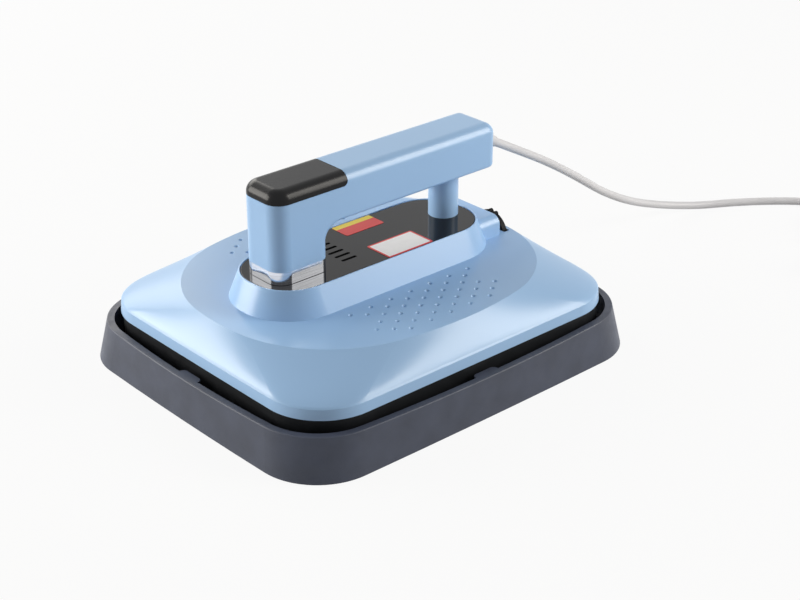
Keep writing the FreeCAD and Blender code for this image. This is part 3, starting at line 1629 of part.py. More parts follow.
def cord_coil():
    """The coil's outer form, with the straight stretches by which the cord joins and leaves it."""
    outer = coil_outer_turn + cord_radius
    inner = coil_inner_turn - cord_radius
    x, y = coil_centre
    ring = rod(outer, x, y, coil_low_z, coil_high_z).cut(rod(inner, x, y, coil_low_z, coil_high_z))
    ring = ring.makeFillet(coil_rounding, [e for e in ring.Edges if e.Closed])
    arrival, before = V(*CORD_ROUTE[-1]), V(*CORD_ROUTE[-2])
    heading = arrival - before
    heading = V(heading.x, heading.y, 0).normalize()
    entry = Part.makeCylinder(cord_radius, entry_length(heading), arrival, heading)
    outward, leaving = coil_frame(coil_exit_angle)
    start = coil_centre_at(coil_top_turn_z) + outward * coil_outer_turn
    tail = Part.makeCylinder(cord_radius, coil_tail, start, leaving)
    return joined([ring, entry, tail])


def entry_length(heading):
    """How far it is from the route's last point to where the cord touches the coil's outer turn."""
    gap = coil_centre_at(0) - V(CORD_ROUTE[-1][0], CORD_ROUTE[-1][1], 0)
    return gap.dot(heading)


def cord_tie():
    """A strap round all the turns, at one place on the coil."""
    inner = coil_inner_turn - cord_radius - tie_slack
    outer = coil_outer_turn + cord_radius + tie_slack
    loop = block(inner - tie_thickness, outer + tie_thickness, -tie_half_width, tie_half_width,
                 coil_low_z - tie_thickness, coil_high_z + tie_thickness)
    loop = loop.cut(block(inner, outer, -tie_half_width, tie_half_width, coil_low_z, coil_high_z))
    loop.rotate(V(0, 0, 0), V(0, 0, 1), tie_angle)
    loop.translate(coil_centre_at(0))
    return loop


def plug_place(shape):
    """Moves a shape modelled along +X at the origin to the end of the coil's tail."""
    outward, leaving = coil_frame(coil_exit_angle)
    shape.rotate(V(0, 0, 0), V(0, 0, 1), math.degrees(math.atan2(leaving.y, leaving.x)))
    shape.translate(coil_centre_at(coil_top_turn_z) + outward * coil_outer_turn + leaving * coil_tail)
    return shape


def pin_shapes():
    face = plug_boot_length + plug_length
    half = blade_spacing / 2
    pins = []
    for y in (-half, half):
        low = blade_rise - blade_height / 2
        blade = block(face - blade_root, face + blade_length, y - blade_thickness / 2, y + blade_thickness / 2,
                      low, low + blade_height)
        pins.append(blade)
    start = V(face - blade_root, 0, blade_rise - earth_drop)
    earth = Part.makeCylinder(earth_radius, blade_root + earth_length, start, V(1, 0, 0))
    pins.append(earth.makeFillet(earth_tip, [e for e in earth.Edges if e.Closed and e.BoundBox.XMin > face]))
    return pins


def plug_body():
    boot = Part.makeCone(relief_tip_radius, plug_boot_radius, plug_boot_length, V(0, 0, 0), V(1, 0, 0))
    half_z = coil_top_turn_z
    front = plug_boot_length + plug_length
    body = block(plug_boot_length, front, -plug_half_width, plug_half_width, -half_z, half_z)
    body = filleted(body, plug_corner, lambda e: e.BoundBox.XLength > 1)
    body = filleted(body, plug_front_edge, lambda e: e.BoundBox.XMin > front - 0.001)
    body = filleted(body, plug_rear_edge, lambda e: e.BoundBox.XMax < plug_boot_length + 0.001)
    return plug_place(joined([boot, body]).cut(group(pin_shapes())))


def plug_pins():
    return plug_place(group(pin_shapes()))


# ================================================================ one file for each node
NODES = {
    "tray_shell": tray_shell,
    "tray_feet": tray_feet,
    "heat_mat": heat_mat,
    "liner_sheet": liner_sheet,
    "plate_rests": plate_rests,
    "lid_cover": lid_cover,
    "base_frame": base_frame,
    "heating_plate": heating_plate,
    "heater_tube": heater_tube,
    "heater_terminals": heater_terminals,
    "clamp_sheet": clamp_sheet,
    "insulation_blanket": insulation_blanket,
    "standoffs": standoffs,
    "standoff_screws": standoff_screws,
    "deck_screws": deck_screws,
    "temperature_sensor": temperature_sensor,
    "sensor_clip": sensor_clip,
    "thermal_fuse": thermal_fuse,
    "cutout_thermostat": cutout_thermostat,
    "terminal_block": terminal_block,
    "backing_plate": backing_plate,
    "handle_plinth": handle_plinth,
    "plinth_screws": plinth_screws,
    "plinth_panel": plinth_panel,
    "blank_label_red": lambda: label(red_label_centre, red_label_half),
    "blank_label_white": lambda: label(white_label_centre, white_label_half),
    "front_pillar": front_pillar,
    "pillar_screws": pillar_screws,
    "handle_screws": handle_screws,
    "column_trim_ring": column_trim_ring,
    "rear_post": rear_post,
    "post_spacer": post_spacer,
    "post_bolt": post_bolt,
    "post_nut": post_nut,
    "handle_shell": handle_shell,
    "handle_underside": handle_underside,
    "underside_screws": underside_screws,
    "display_cap": display_cap,
    "display_board": display_board,
    "display_screws": display_screws,
    "display_module": display_module,
    "touch_springs": touch_springs,
    "control_board": control_board,
    "power_parts": power_parts,
    "board_screws": board_screws,
    "heater_leads": heater_leads,
    "supply_lead": supply_lead,
    "strain_relief": strain_relief,
    "cord_clamp": cord_clamp,
    "clamp_screws": clamp_screws,
    "dial_wheel": dial_wheel,
    "dial_spindle": dial_spindle,
    "dial_bracket": dial_bracket,
    "dial_potentiometer": dial_potentiometer,
    "cord_tube": cord_tube,
    "cord_coil": cord_coil,
    "cord_tie": cord_tie,
    "plug_body": plug_body,
    "plug_pins": plug_pins,
}

for node, make in NODES.items():
    save(node, make())
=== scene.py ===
"""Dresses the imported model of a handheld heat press: cord, finishes, studio and camera. Metres, row frame."""
import math

import bmesh
import bpy
from bpy.props import FloatProperty, FloatVectorProperty, PointerProperty
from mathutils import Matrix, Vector


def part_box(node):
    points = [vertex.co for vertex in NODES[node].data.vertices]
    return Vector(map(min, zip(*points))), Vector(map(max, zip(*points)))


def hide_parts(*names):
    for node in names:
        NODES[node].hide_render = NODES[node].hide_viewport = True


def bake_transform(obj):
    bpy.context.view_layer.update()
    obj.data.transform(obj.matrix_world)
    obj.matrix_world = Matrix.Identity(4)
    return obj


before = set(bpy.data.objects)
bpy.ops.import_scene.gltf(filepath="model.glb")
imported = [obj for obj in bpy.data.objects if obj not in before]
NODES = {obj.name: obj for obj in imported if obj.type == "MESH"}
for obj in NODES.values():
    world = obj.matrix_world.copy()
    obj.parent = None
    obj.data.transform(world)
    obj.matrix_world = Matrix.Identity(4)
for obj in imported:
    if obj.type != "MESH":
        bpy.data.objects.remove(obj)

bl_info = {
    "name": "Handheld heat press",
    "version": (1, 0, 0),
    "blender": (4, 5, 0),
    "location": "View3D > Sidebar > Heat Press",
    "description": "Gives a handheld heat press its cord, its finishes and a small studio",
    "category": "Object",
}

# ---------------------------------------------------------------- cord, in metres and degrees
CORD_ROUTE = [
    (0.0, 0.1475, 0.140),
    (-0.0008, 0.178, 0.1237),
    (-0.004, 0.219, 0.1011),
    (-0.0089, 0.262, 0.0741),
    (-0.0125, 0.303, 0.0463),
    (-0.0123, 0.343, 0.0253),
    (-0.0066, 0.384, 0.0117),
    (0.0054, 0.424, 0.00365),
    (0.022, 0.454, 0.00365),
    (0.042, 0.482, 0.00365),
    (0.066, 0.505, 0.00465),
    (0.093, 0.523, 0.00465),
]
COIL_CENTRE = (0.1449, 0.4993)
COIL_OUTER_TURN = 0.0485  # radius
COIL_INNER_TURN = 0.0294  # radius
COIL_LOW_Z = 0.00465
COIL_HIGH_Z = 0.01195
COIL_ENTRY_ANGLE = 123.7
COIL_TURN = 1931.7  # in all, on both layers
COIL_CLIMB = 60.0  # half of the turn in which the cord rises to the upper layer
COIL_STEP = 20.0  # from one point of the curve to the next
COIL_TAIL = 0.031  # length of the straight end, up to the plug
TAIL_SHARES = (0.35, 0.7, 1.0)  # where along the tail its points are
CORD_SMOOTHNESS = 6
CORD_SPLINE_ORDER = 3

# ---------------------------------------------------------------- labels, in metres
RED_LABEL_STRIPE = 0.0062
WHITE_LABEL_BORDER = 0.0016
STRIPE_YELLOW = (0.80, 0.62, 0.05)

# ---------------------------------------------------------------- fixed colours
FRAME_BLACK = (0.010, 0.011, 0.013)
INNER_BLACK = (0.02, 0.02, 0.022)
DIAL_BLACK = (0.004, 0.004, 0.005)
COMPONENT_BLACK = (0.03, 0.03, 0.03)
PHENOLIC_BROWN = (0.035, 0.018, 0.012)
FOOT_BLACK = (0.02, 0.02, 0.02)
STRAP_BLACK = (0.018, 0.018, 0.020)
SILICONE_GREY = (0.30, 0.30, 0.31)
LEAD_GREY = (0.62, 0.60, 0.57)
MAT_BROWN = (0.42, 0.38, 0.31)
BLANKET_WHITE = (0.80, 0.78, 0.73)
CERAMIC_WHITE = (0.80, 0.77, 0.70)
CHROME = (0.68, 0.71, 0.78)
FOIL = (0.80, 0.80, 0.81)
GROUND_ALUMINIUM = (0.78, 0.79, 0.80)
ZINC_PLATE = (0.62, 0.62, 0.60)
SPANGLE_LIGHT = (0.62, 0.64, 0.67)
SPANGLE_MIDDLE = (0.55, 0.57, 0.60)
SPANGLE_DARK = (0.42, 0.44, 0.48)
SHEATH_BROWN = (0.30, 0.27, 0.25)
SHEATH_STRAW = (0.36, 0.28, 0.20)
SHEATH_BLUE = (0.18, 0.19, 0.26)
CLIP_STEEL = (0.50, 0.50, 0.52)
SPINDLE_STEEL = (0.55, 0.55, 0.57)
BRASS = (0.76, 0.60, 0.33)
BOARD_GREEN = (0.02, 0.16, 0.06)
BOARD_PALE_GREEN = (0.025, 0.19, 0.07)
TRACK_GREEN = (0.06, 0.32, 0.12)

# ---------------------------------------------------------------- patterns
EVEN = (1, 1, 1)
LINE_STRETCH = 0.02  # scale of the pattern along a fine line
LINES_ROUND = (LINE_STRETCH, LINE_STRETCH, 1)
PIN_LINES = (0.05, 1, 1)
WAVE_UNITS = 20  # the Wave Texture has this many radians to a unit at a scale of 1

# ---------------------------------------------------------------- studio, in metres and degrees
CAMERA_PLACE = (0.92015, -0.77984, 0.64823)
SENSOR_WIDTH = 36.0  # millimetres
LAMP_AIM = Vector((0, 0, 0.05))
LAMP_DISTANCE = 2.0
LAMP_COLOUR = (1.0, 0.965, 0.9)
LEFT_LAMP = {"azimuth": -43, "elevation": 16, "size": (1.3, 1.15)}
RIGHT_LAMP = {"azimuth": 136, "elevation": 26, "size": (0.95, 1.3)}
BACK_LAMP = {"azimuth": -95, "elevation": 27, "size": (1.6, 0.9)}
FLOOR_RADIUS = 8.0
FLOOR_SIDES = 96
FLOOR_GLOW = 0.92  # the share of the seen floor that is plain white, the rest shows the shadow
WHITE = (1, 1, 1, 1)


# ---------------------------------------------------------------- sizes and colours that a user would change
class HeatPressSizes(bpy.types.PropertyGroup):
    cord_thickness: FloatProperty(
        name="Cord thickness", description="Diameter of the mains cord's jacket",
        default=0.0073, min=0.004, max=0.012, precision=4, unit="LENGTH")
    cord_length: FloatProperty(
        name="Cord length", description="Length of the mains cord from the handle to the plug",
        default=1.81, min=0.5, max=5.0, unit="LENGTH")


class HeatPressColours(bpy.types.PropertyGroup):
    shell: FloatVectorProperty(
        name="Shell", description="Moulded lid, plinth and handle",
        default=(0.33, 0.53, 0.81), subtype="COLOR", min=0.0, max=1.0)
    tray: FloatVectorProperty(
        name="Tray", description="Moulded tray",
        default=(0.047, 0.056, 0.086), subtype="COLOR", min=0.0, max=1.0)
    gloss: FloatVectorProperty(
        name="Gloss black", description="Control cap and plinth panel",
        default=(0.006, 0.006, 0.007), subtype="COLOR", min=0.0, max=1.0)
    cord: FloatVectorProperty(
        name="Cord", description="Jacket of the mains cord",
        default=(0.64, 0.64, 0.67), subtype="COLOR", min=0.0, max=1.0)
    label_red: FloatVectorProperty(
        name="Red label", description="Film of the narrow label",
        default=(0.62, 0.03, 0.03), subtype="COLOR", min=0.0, max=1.0)
    label_white: FloatVectorProperty(
        name="White label", description="Film of the wide label",
        default=(0.80, 0.79, 0.78), subtype="COLOR", min=0.0, max=1.0)


class HeatPressStudio(bpy.types.PropertyGroup):
    lens: FloatProperty(
        name="Lens", description="Focal length of the camera",
        default=75.2, min=20.0, max=200.0, subtype="DISTANCE_CAMERA")
    azimuth: FloatProperty(
        name="Azimuth", description="Turn of the camera round the press",
        default=math.radians(48.24), subtype="ANGLE")
    elevation: FloatProperty(
        name="Elevation", description="Height of the camera above the horizon",
        default=math.radians(26.71), subtype="ANGLE")
    floor: FloatVectorProperty(
        name="Floor", description="Colour of the studio floor",
        default=(0.62, 0.62, 0.62), subtype="COLOR", min=0.0, max=1.0)
    left_power: FloatProperty(
        name="Left light", description="Power of the large soft lamp on the left",
        default=39.0, min=0.0, unit="POWER")
    right_power: FloatProperty(
        name="Right light", description="Power of the soft lamp on the right",
        default=32.0, min=0.0, unit="POWER")
    back_power: FloatProperty(
        name="Back light", description="Power of the wide lamp behind on the left",
        default=15.0, min=0.0, unit="POWER")
    ambient: FloatProperty(
        name="Ambient", description="Strength of the even light from all round",
        default=0.17, min=0.0, subtype="FACTOR")


def sizes():
    return bpy.context.scene.heat_press_sizes


def colours():
    return bpy.context.scene.heat_press_colours


def studio():
    return bpy.context.scene.heat_press_studio


# ---------------------------------------------------------------- what the finishes are made of
def new_finish(name, colour, roughness, metallic=0.0, coat=0.0, specular=0.5, sheen=0.0):
    """A material with one shader, whose even values sit on the shader's own sockets."""
    material = bpy.data.materials.new(name)
    material.use_nodes = True
    shader = shader_of(material)
    shader.inputs["Base Color"].default_value = (*colour, 1)
    shader.inputs["Roughness"].default_value = roughness
    shader.inputs["Metallic"].default_value = metallic
    shader.inputs["Coat Weight"].default_value = coat
    shader.inputs["Specular IOR Level"].default_value = specular
    shader.inputs["Sheen Weight"].default_value = sheen
    return material


def shader_of(material):
    return material.node_tree.nodes["Principled BSDF"]


def add_node(material, kind, **links):
    """A node with its inputs linked by name, where an underscore stands for a space."""
    node = material.node_tree.nodes.new(kind)
    for name, source in links.items():
        material.node_tree.links.new(source, node.inputs[name.replace("_", " ")])
    return node


def surface_place(material, stretch=EVEN):
    """The point on the surface in metres, scaled along each axis."""
    place = add_node(material, "ShaderNodeTexCoord").outputs["Object"]
    scaled = add_node(material, "ShaderNodeMapping", Vector=place)
    scaled.inputs["Scale"].default_value = stretch
    return scaled.outputs["Vector"]


def mottle(material, size, stretch=EVEN, detail=2.0):
    """Soft random spots of a size in metres, as a value round 0.5."""
    spots = add_node(material, "ShaderNodeTexNoise", Vector=surface_place(material, stretch))
    spots.inputs["Scale"].default_value = 1 / size
    spots.inputs["Detail"].default_value = detail
    return spots.outputs["Fac"]


def cells(material, size):
    """Cells of a size in metres, as the distance from their middles."""
    pattern = add_node(material, "ShaderNodeTexVoronoi", Vector=surface_place(material))
    pattern.inputs["Scale"].default_value = 1 / size
    return pattern.outputs["Distance"]


def ripples(material, pitch, axis):
    """Even waves along one axis, a pitch apart."""
    waves = add_node(material, "ShaderNodeTexWave", Vector=surface_place(material))
    waves.wave_profile = "SIN"
    waves.bands_direction = axis
    waves.inputs["Scale"].default_value = math.tau / (WAVE_UNITS * pitch)
    return waves.outputs["Fac"]


def between(material, value, low, high, start=0.3, end=0.7):
    """A value that runs from start to end, moved to run from low to high."""
    span = add_node(material, "ShaderNodeMapRange", Value=value)
    span.inputs["From Min"].default_value = start
    span.inputs["From Max"].default_value = end
    span.inputs["To Min"].default_value = low
    span.inputs["To Max"].default_value = high
    return span.outputs["Result"]


def blend_colours(material, share, first, second):
    """A colour that turns from the first into the second as the share rises to 1."""
    mix = material.node_tree.nodes.new("ShaderNodeMix")
    mix.data_type = "RGBA"
    material.node_tree.links.new(share, mix.inputs["Factor"])
    for socket, colour in ((mix.inputs["A"], first), (mix.inputs["B"], second)):
        if isinstance(colour, bpy.types.NodeSocket):
            material.node_tree.links.new(colour, socket)
        else:
            socket.default_value = (*colour, 1)
    return mix.outputs["Result"]


def use_colour(material, colour):
    material.node_tree.links.new(colour, shader_of(material).inputs["Base Color"])


def use_roughness(material, roughness):
    material.node_tree.links.new(roughness, shader_of(material).inputs["Roughness"])


def add_relief(material, height, depth):
    """Raises the surface by up to a depth in metres, on top of the reliefs it has."""
    normal = shader_of(material).inputs["Normal"]
    relief = add_node(material, "ShaderNodeBump", Height=height)
    relief.inputs["Distance"].default_value = depth
    if normal.is_linked:
        material.node_tree.links.new(normal.links[0].from_socket, relief.inputs["Normal"])
    material.node_tree.links.new(relief.outputs["Normal"], normal)


def shade(colour, factor):
    return tuple(min(channel * factor, 1.0) for channel in colour)


def vary(material, colour, size, amount, stretch=EVEN):
    """Clouds the colour by a share up and down, in spots of a size."""
    share = between(material, mottle(material, size, stretch), 0.0, 1.0)
    use_colour(material, blend_colours(material, share, shade(colour, 1 - amount), shade(colour, 1 + amount)))


def vary_roughness(material, size, low, high, stretch=EVEN):
    use_roughness(material, between(material, mottle(material, size, stretch), low, high))


def paint(material, *names):
    """Gives nodes of the frame a finish."""
    for name in names:
        for slot in NODES[name].material_slots:
            slot.material = material


# ---------------------------------------------------------------- finishes of the plastics
def moulded_shell():
    """Satin gloss plastic with the faint waviness of a large moulding."""
    colour = colours().shell
    material = new_finish("moulded_shell", colour, roughness=0.28)
    clouds = mottle(material, size=0.06, detail=0.0)
    use_colour(material, blend_colours(material, clouds, shade(colour, 0.975), shade(colour, 1.025)))
    add_relief(material, mottle(material, size=0.04, detail=0.0), depth=0.00003)
    return material


def gloss_black(name, roughness):
    """Glossy plastic with a trace of fine dust."""
    colour = colours().gloss
    material = new_finish(name, colour, roughness, specular=0.2)
    dust = between(material, mottle(material, size=0.0006, detail=4.0), 0.0, 1.0, start=0.66, end=0.80)
    use_colour(material, blend_colours(material, dust, colour, shade(colour, 3)))
    vary_roughness(material, size=0.01, low=roughness - 0.01, high=roughness + 0.01)
    add_relief(material, mottle(material, size=0.03, detail=0.0), depth=0.00001)
    return material


def grained_plastic(name, colour, roughness, grain, depth, specular=0.5):
    """Matt plastic from a spark eroded mould."""
    material = new_finish(name, colour, roughness, specular=specular)
    vary(material, colour, size=0.025, amount=0.16)
    vary_roughness(material, size=0.008, low=roughness - 0.05, high=roughness + 0.06)
    add_relief(material, mottle(material, grain, detail=3.0), depth)
    return material


def rubber(name, colour):
    material = new_finish(name, colour, roughness=0.7, specular=0.35)
    vary(material, colour, size=0.006, amount=0.08)
    add_relief(material, mottle(material, size=0.0007, detail=3.0), depth=0.00004)
    return material


def film(name, colour, edge, node, border=0.0, stripe=0.0):
    """A bare label film with a border in the edge's colour or a plain stripe on its left side."""
    low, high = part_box(node)
    material = new_finish(name, colour, roughness=0.38, specular=0.4)
    place = add_node(material, "ShaderNodeSeparateXYZ", Vector=surface_place(material))
    inside = None
    for axis, number in (("X", 0), ("Y", 1)):
        middle, half = (low[number] + high[number]) / 2, (high[number] - low[number]) / 2
        offset = calculate(material, "SUBTRACT", place.outputs[axis], middle)
        reach = calculate(material, "ABSOLUTE", offset)
        within = calculate(material, "LESS_THAN", reach, half - border)
        inside = within if inside is None else calculate(material, "MINIMUM", inside, within)
    plain = blend_colours(material, mottle(material, size=0.004), shade(colour, 0.96), shade(colour, 1.03))
    if stripe:
        on_stripe = calculate(material, "LESS_THAN", place.outputs["X"], low[0] + stripe)
        plain = blend_colours(material, on_stripe, plain, STRIPE_YELLOW)
    use_colour(material, blend_colours(material, inside, edge, plain))
    add_relief(material, mottle(material, size=0.0015), depth=0.000012)
    return material


def calculate(material, operation, value, number=None):
    """One step of arithmetic on a value, with a number or a second value."""
    step = material.node_tree.nodes.new("ShaderNodeMath")
    step.operation = operation
    material.node_tree.links.new(value, step.inputs[0])
    if isinstance(number, bpy.types.NodeSocket):
        material.node_tree.links.new(number, step.inputs[1])
    elif number is not None:
        step.inputs[1].default_value = number
    return step.outputs[0]


# ---------------------------------------------------------------- finishes of the metals
def chrome():
    """Bright plating over fine lines that run round the part."""
    material = new_finish("chrome", CHROME, roughness=0.11, metallic=1.0)
    vary(material, CHROME, size=0.0006, amount=0.18, stretch=LINES_ROUND)
    vary_roughness(material, size=0.0005, low=0.06, high=0.16, stretch=LINES_ROUND)
    add_relief(material, mottle(material, size=0.0004, stretch=LINES_ROUND), depth=0.000015)
    return material


def rolled_metal(name, colour, roughness, grain_axis):
    """Sheet or bar with fine lines along one axis."""
    lines = tuple(LINE_STRETCH if axis == grain_axis else 1.0 for axis in "XYZ")
    material = new_finish(name, colour, roughness, metallic=1.0)
    vary(material, colour, size=0.0005, amount=0.06, stretch=lines)
    vary_roughness(material, size=0.0004, low=roughness - 0.08, high=roughness + 0.08, stretch=lines)
    add_relief(material, mottle(material, size=0.0003, stretch=lines), depth=0.00001)
    return material


def zinc_spangle():
    """Galvanised sheet with its crystal pattern."""
    material = new_finish("zinc_spangle", SPANGLE_MIDDLE, roughness=0.4, metallic=1.0)
    grains = cells(material, size=0.007)
    share = between(material, grains, 0.0, 1.0, start=0.1, end=0.8)
    use_colour(material, blend_colours(material, share, SPANGLE_LIGHT, SPANGLE_DARK))
    use_roughness(material, between(material, grains, 0.32, 0.5, start=0.1, end=0.8))
    return material


def plated_steel():
    """Zinc plated screws and small parts."""
    material = new_finish("plated_steel", ZINC_PLATE, roughness=0.32, metallic=1.0)
    vary(material, ZINC_PLATE, size=0.002, amount=0.08)
    vary_roughness(material, size=0.0007, low=0.24, high=0.42)
    return material


def annealed_sheath():
    """Heater tube with the straw and blue tints of its first heating."""
    material = new_finish("annealed_sheath", SHEATH_BROWN, roughness=0.42, metallic=1.0)
    tints = between(material, mottle(material, size=0.04), 0.0, 1.0)
    use_colour(material, blend_colours(material, tints, SHEATH_STRAW, SHEATH_BLUE))
    vary_roughness(material, size=0.003, low=0.36, high=0.55)
    return material


def brass():
    material = new_finish("brass", BRASS, roughness=0.25, metallic=1.0)
    vary(material, BRASS, size=0.003, amount=0.05)
    vary_roughness(material, size=0.0006, low=0.18, high=0.36, stretch=PIN_LINES)
    return material


# ---------------------------------------------------------------- finishes of fibre, ceramic, cord and board
def felt(name, colour):
    """Pressed fibre."""
    material = new_finish(name, colour, roughness=0.95, specular=0.1, sheen=0.3)
    vary(material, colour, size=0.0015, amount=0.14)
    add_relief(material, mottle(material, size=0.0008, detail=6.0), depth=0.0004)
    return material


def ceramic():
    material = new_finish("ceramic", CERAMIC_WHITE, roughness=0.6)
    vary(material, CERAMIC_WHITE, size=0.004, amount=0.04)
    add_relief(material, mottle(material, size=0.0006, detail=4.0), depth=0.00003)
    return material


def woven_strap():
    """Nylon strap with ribs across it and a fine weave between them."""
    material = new_finish("woven_strap", STRAP_BLACK, roughness=0.75, specular=0.3, sheen=0.3)
    ribs = ripples(material, pitch=0.0012, axis="X")
    rows = ripples(material, pitch=0.0008, axis="Z")
    weave = calculate(material, "MULTIPLY", ribs, rows)
    use_colour(material, blend_colours(material, weave, shade(STRAP_BLACK, 0.5), shade(STRAP_BLACK, 2.4)))
    add_relief(material, weave, depth=0.0002)
    return material


def cord_jacket():
    """Smooth soft plastic over the twisted cores, which just show through it."""
    colour = colours().cord
    material = new_finish("cord_jacket", colour, roughness=0.42, specular=0.45)
    vary(material, colour, size=0.03, amount=0.03)
    vary_roughness(material, size=0.004, low=0.38, high=0.50)
    add_relief(material, mottle(material, size=0.006, detail=1.0), depth=0.00012)
    add_relief(material, mottle(material, size=0.0006), depth=0.000015)
    return material


def soft_moulding(name, colour):
    """The plug's and the cord guard's soft plastic."""
    material = new_finish(name, colour, roughness=0.5, specular=0.4)
    vary(material, colour, size=0.01, amount=0.03)
    add_relief(material, mottle(material, size=0.0009, detail=3.0), depth=0.00002)
    return material


def circuit_board():
    """Green lacquer over copper tracks."""
    material = new_finish("circuit_board", BOARD_GREEN, roughness=0.3, coat=0.3)
    tracks = add_node(material, "ShaderNodeTexBrick", Vector=surface_place(material))
    tracks.inputs["Scale"].default_value = 90
    tracks.inputs["Mortar Size"].default_value = 0.06
    for socket, colour in (("Color1", BOARD_GREEN), ("Color2", BOARD_PALE_GREEN), ("Mortar", TRACK_GREEN)):
        tracks.inputs[socket].default_value = (*colour, 1)
    use_colour(material, tracks.outputs["Color"])
    add_relief(material, tracks.outputs["Fac"], depth=0.00003)
    return material


# ---------------------------------------------------------------- cord
def ease(share):
    """A share held between 0 and 1 that starts and stops gently."""
    share = min(max(share, 0.0), 1.0)
    return share * share * (3 - 2 * share)


def coil_points():
    """The coil's points: inwards on the lower layer, up at the inside and outwards on the upper one."""
    layer = (COIL_TURN - COIL_CLIMB) / 2
    # the curve runs through the middles between its points, so they stand a little outside its radius
    spread = 1 / math.cos(math.radians(COIL_STEP / 2))
    points = []
    steps = round(COIL_TURN / COIL_STEP)
    for step in range(steps + 1):
        turned = COIL_TURN * step / steps
        inwards = min(turned / layer, 1.0)
        outwards = max((turned - layer - COIL_CLIMB) / layer, 0.0)
        radius = COIL_OUTER_TURN + (COIL_INNER_TURN - COIL_OUTER_TURN) * (inwards - outwards)
        climbed = ease((turned - layer + COIL_CLIMB) / (2 * COIL_CLIMB))
        height = COIL_LOW_Z + (COIL_HIGH_Z - COIL_LOW_Z) * climbed
        angle = math.radians(COIL_ENTRY_ANGLE - turned)
        points.append((COIL_CENTRE[0] + radius * spread * math.cos(angle),
                       COIL_CENTRE[1] + radius * spread * math.sin(angle), height))
    return points


def tail_points():
    """The straight end of the cord, from the coil to the plug."""
    angle = math.radians(COIL_ENTRY_ANGLE - COIL_TURN)
    outward = Vector((math.cos(angle), math.sin(angle), 0))
    leaving = Vector((outward.y, -outward.x, 0))
    start = Vector((*COIL_CENTRE, COIL_HIGH_Z)) + outward * COIL_OUTER_TURN
    return [start + leaving * COIL_TAIL * share for share in TAIL_SHARES]


def cord_spline(thickness):
    """The cord's curve, as a bare line where the thickness is 0."""
    curve = bpy.data.curves.new("cord_line", "CURVE")
    curve.dimensions = "3D"
    curve.resolution_u = CORD_SMOOTHNESS
    curve.bevel_depth = thickness / 2
    curve.bevel_resolution = CORD_SMOOTHNESS
    curve.use_fill_caps = thickness > 0
    points = [*CORD_ROUTE, *coil_points(), *tail_points()]
    spline = curve.splines.new("NURBS")
    spline.points.add(len(points) - 1)
    for place, point in zip(spline.points, points):
        place.co = (*point, 1)
    spline.order_u = CORD_SPLINE_ORDER
    spline.use_endpoint_u = True
    return curve


def curve_mesh(curve):
    """The mesh that a curve makes."""
    holder = bpy.data.objects.new("cord_holder", curve)
    bpy.context.scene.collection.objects.link(holder)
    bpy.context.view_layer.update()
    mesh = bpy.data.meshes.new_from_object(holder)
    bpy.data.objects.remove(holder)
    return mesh


def make_cord():
    """One piece from the handle to the plug."""
    line = curve_mesh(cord_spline(0))
    mesh = curve_mesh(cord_spline(sizes().cord_thickness))
    mesh.name = "mains_cord"
    cord = bpy.data.objects.new("mains_cord", mesh)
    bpy.context.scene.collection.objects.link(cord)
    for polygon in mesh.polygons:
        polygon.use_smooth = True
    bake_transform(cord)
    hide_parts("cord_tube", "cord_coil")
    return cord


# ---------------------------------------------------------------- studio
def make_floor():
    """A round pale floor that keeps the shadow of the press and looks nearly white."""
    shape = bmesh.new()
    bmesh.ops.create_circle(shape, cap_ends=True, segments=FLOOR_SIDES, radius=FLOOR_RADIUS)
    mesh = bpy.data.meshes.new("studio_floor")
    shape.to_mesh(mesh)
    shape.free()
    floor = bpy.data.objects.new("studio_floor", mesh)
    bpy.context.scene.collection.objects.link(floor)
    material = bpy.data.materials.new("studio_floor")
    material.use_nodes = True
    tree = material.node_tree
    tree.nodes.clear()
    out = tree.nodes.new("ShaderNodeOutputMaterial")
    lit = tree.nodes.new("ShaderNodeBsdfDiffuse")
    lit.inputs["Color"].default_value = (*studio().floor, 1)
    glow = tree.nodes.new("ShaderNodeEmission")
    glow.inputs["Color"].default_value = WHITE
    glow.inputs["Strength"].default_value = 1.0
    mix = tree.nodes.new("ShaderNodeMixShader")
    share = tree.nodes.new("ShaderNodeMath")
    share.operation = "MULTIPLY"
    share.inputs[1].default_value = FLOOR_GLOW
    tree.links.new(seen_by_camera_or_gloss(tree), share.inputs[0])
    tree.links.new(share.outputs[0], mix.inputs["Fac"])
    tree.links.new(lit.outputs[0], mix.inputs[1])
    tree.links.new(glow.outputs[0], mix.inputs[2])
    tree.links.new(mix.outputs[0], out.inputs["Surface"])
    mesh.materials.append(material)


def seen_by_camera_or_gloss(tree):
    """1 for rays from the camera, from gloss or through glass, 0 for the light on the object."""
    path = tree.nodes.new("ShaderNodeLightPath")
    total = path.outputs["Is Camera Ray"]
    for name in ("Is Glossy Ray", "Is Transmission Ray"):
        add = tree.nodes.new("ShaderNodeMath")
        add.operation = "ADD"
        add.use_clamp = True
        tree.links.new(total, add.inputs[0])
        tree.links.new(path.outputs[name], add.inputs[1])
        total = add.outputs[0]
    return total


def make_world():
    """Even light from all round, before a white background."""
    world = bpy.data.worlds.new("studio_world")
    bpy.context.scene.world = world
    world.use_nodes = True
    tree = world.node_tree
    tree.nodes.clear()
    out = tree.nodes.new("ShaderNodeOutputWorld")
    even = tree.nodes.new("ShaderNodeBackground")
    even.inputs["Strength"].default_value = studio().ambient
    white = tree.nodes.new("ShaderNodeBackground")
    white.inputs["Strength"].default_value = 1.0
    for background in (even, white):
        background.inputs["Color"].default_value = WHITE
    mix = tree.nodes.new("ShaderNodeMixShader")
    tree.links.new(seen_by_camera_or_gloss(tree), mix.inputs["Fac"])
    tree.links.new(even.outputs[0], mix.inputs[1])
    tree.links.new(white.outputs[0], mix.inputs[2])
    tree.links.new(mix.outputs[0], out.inputs["Surface"])


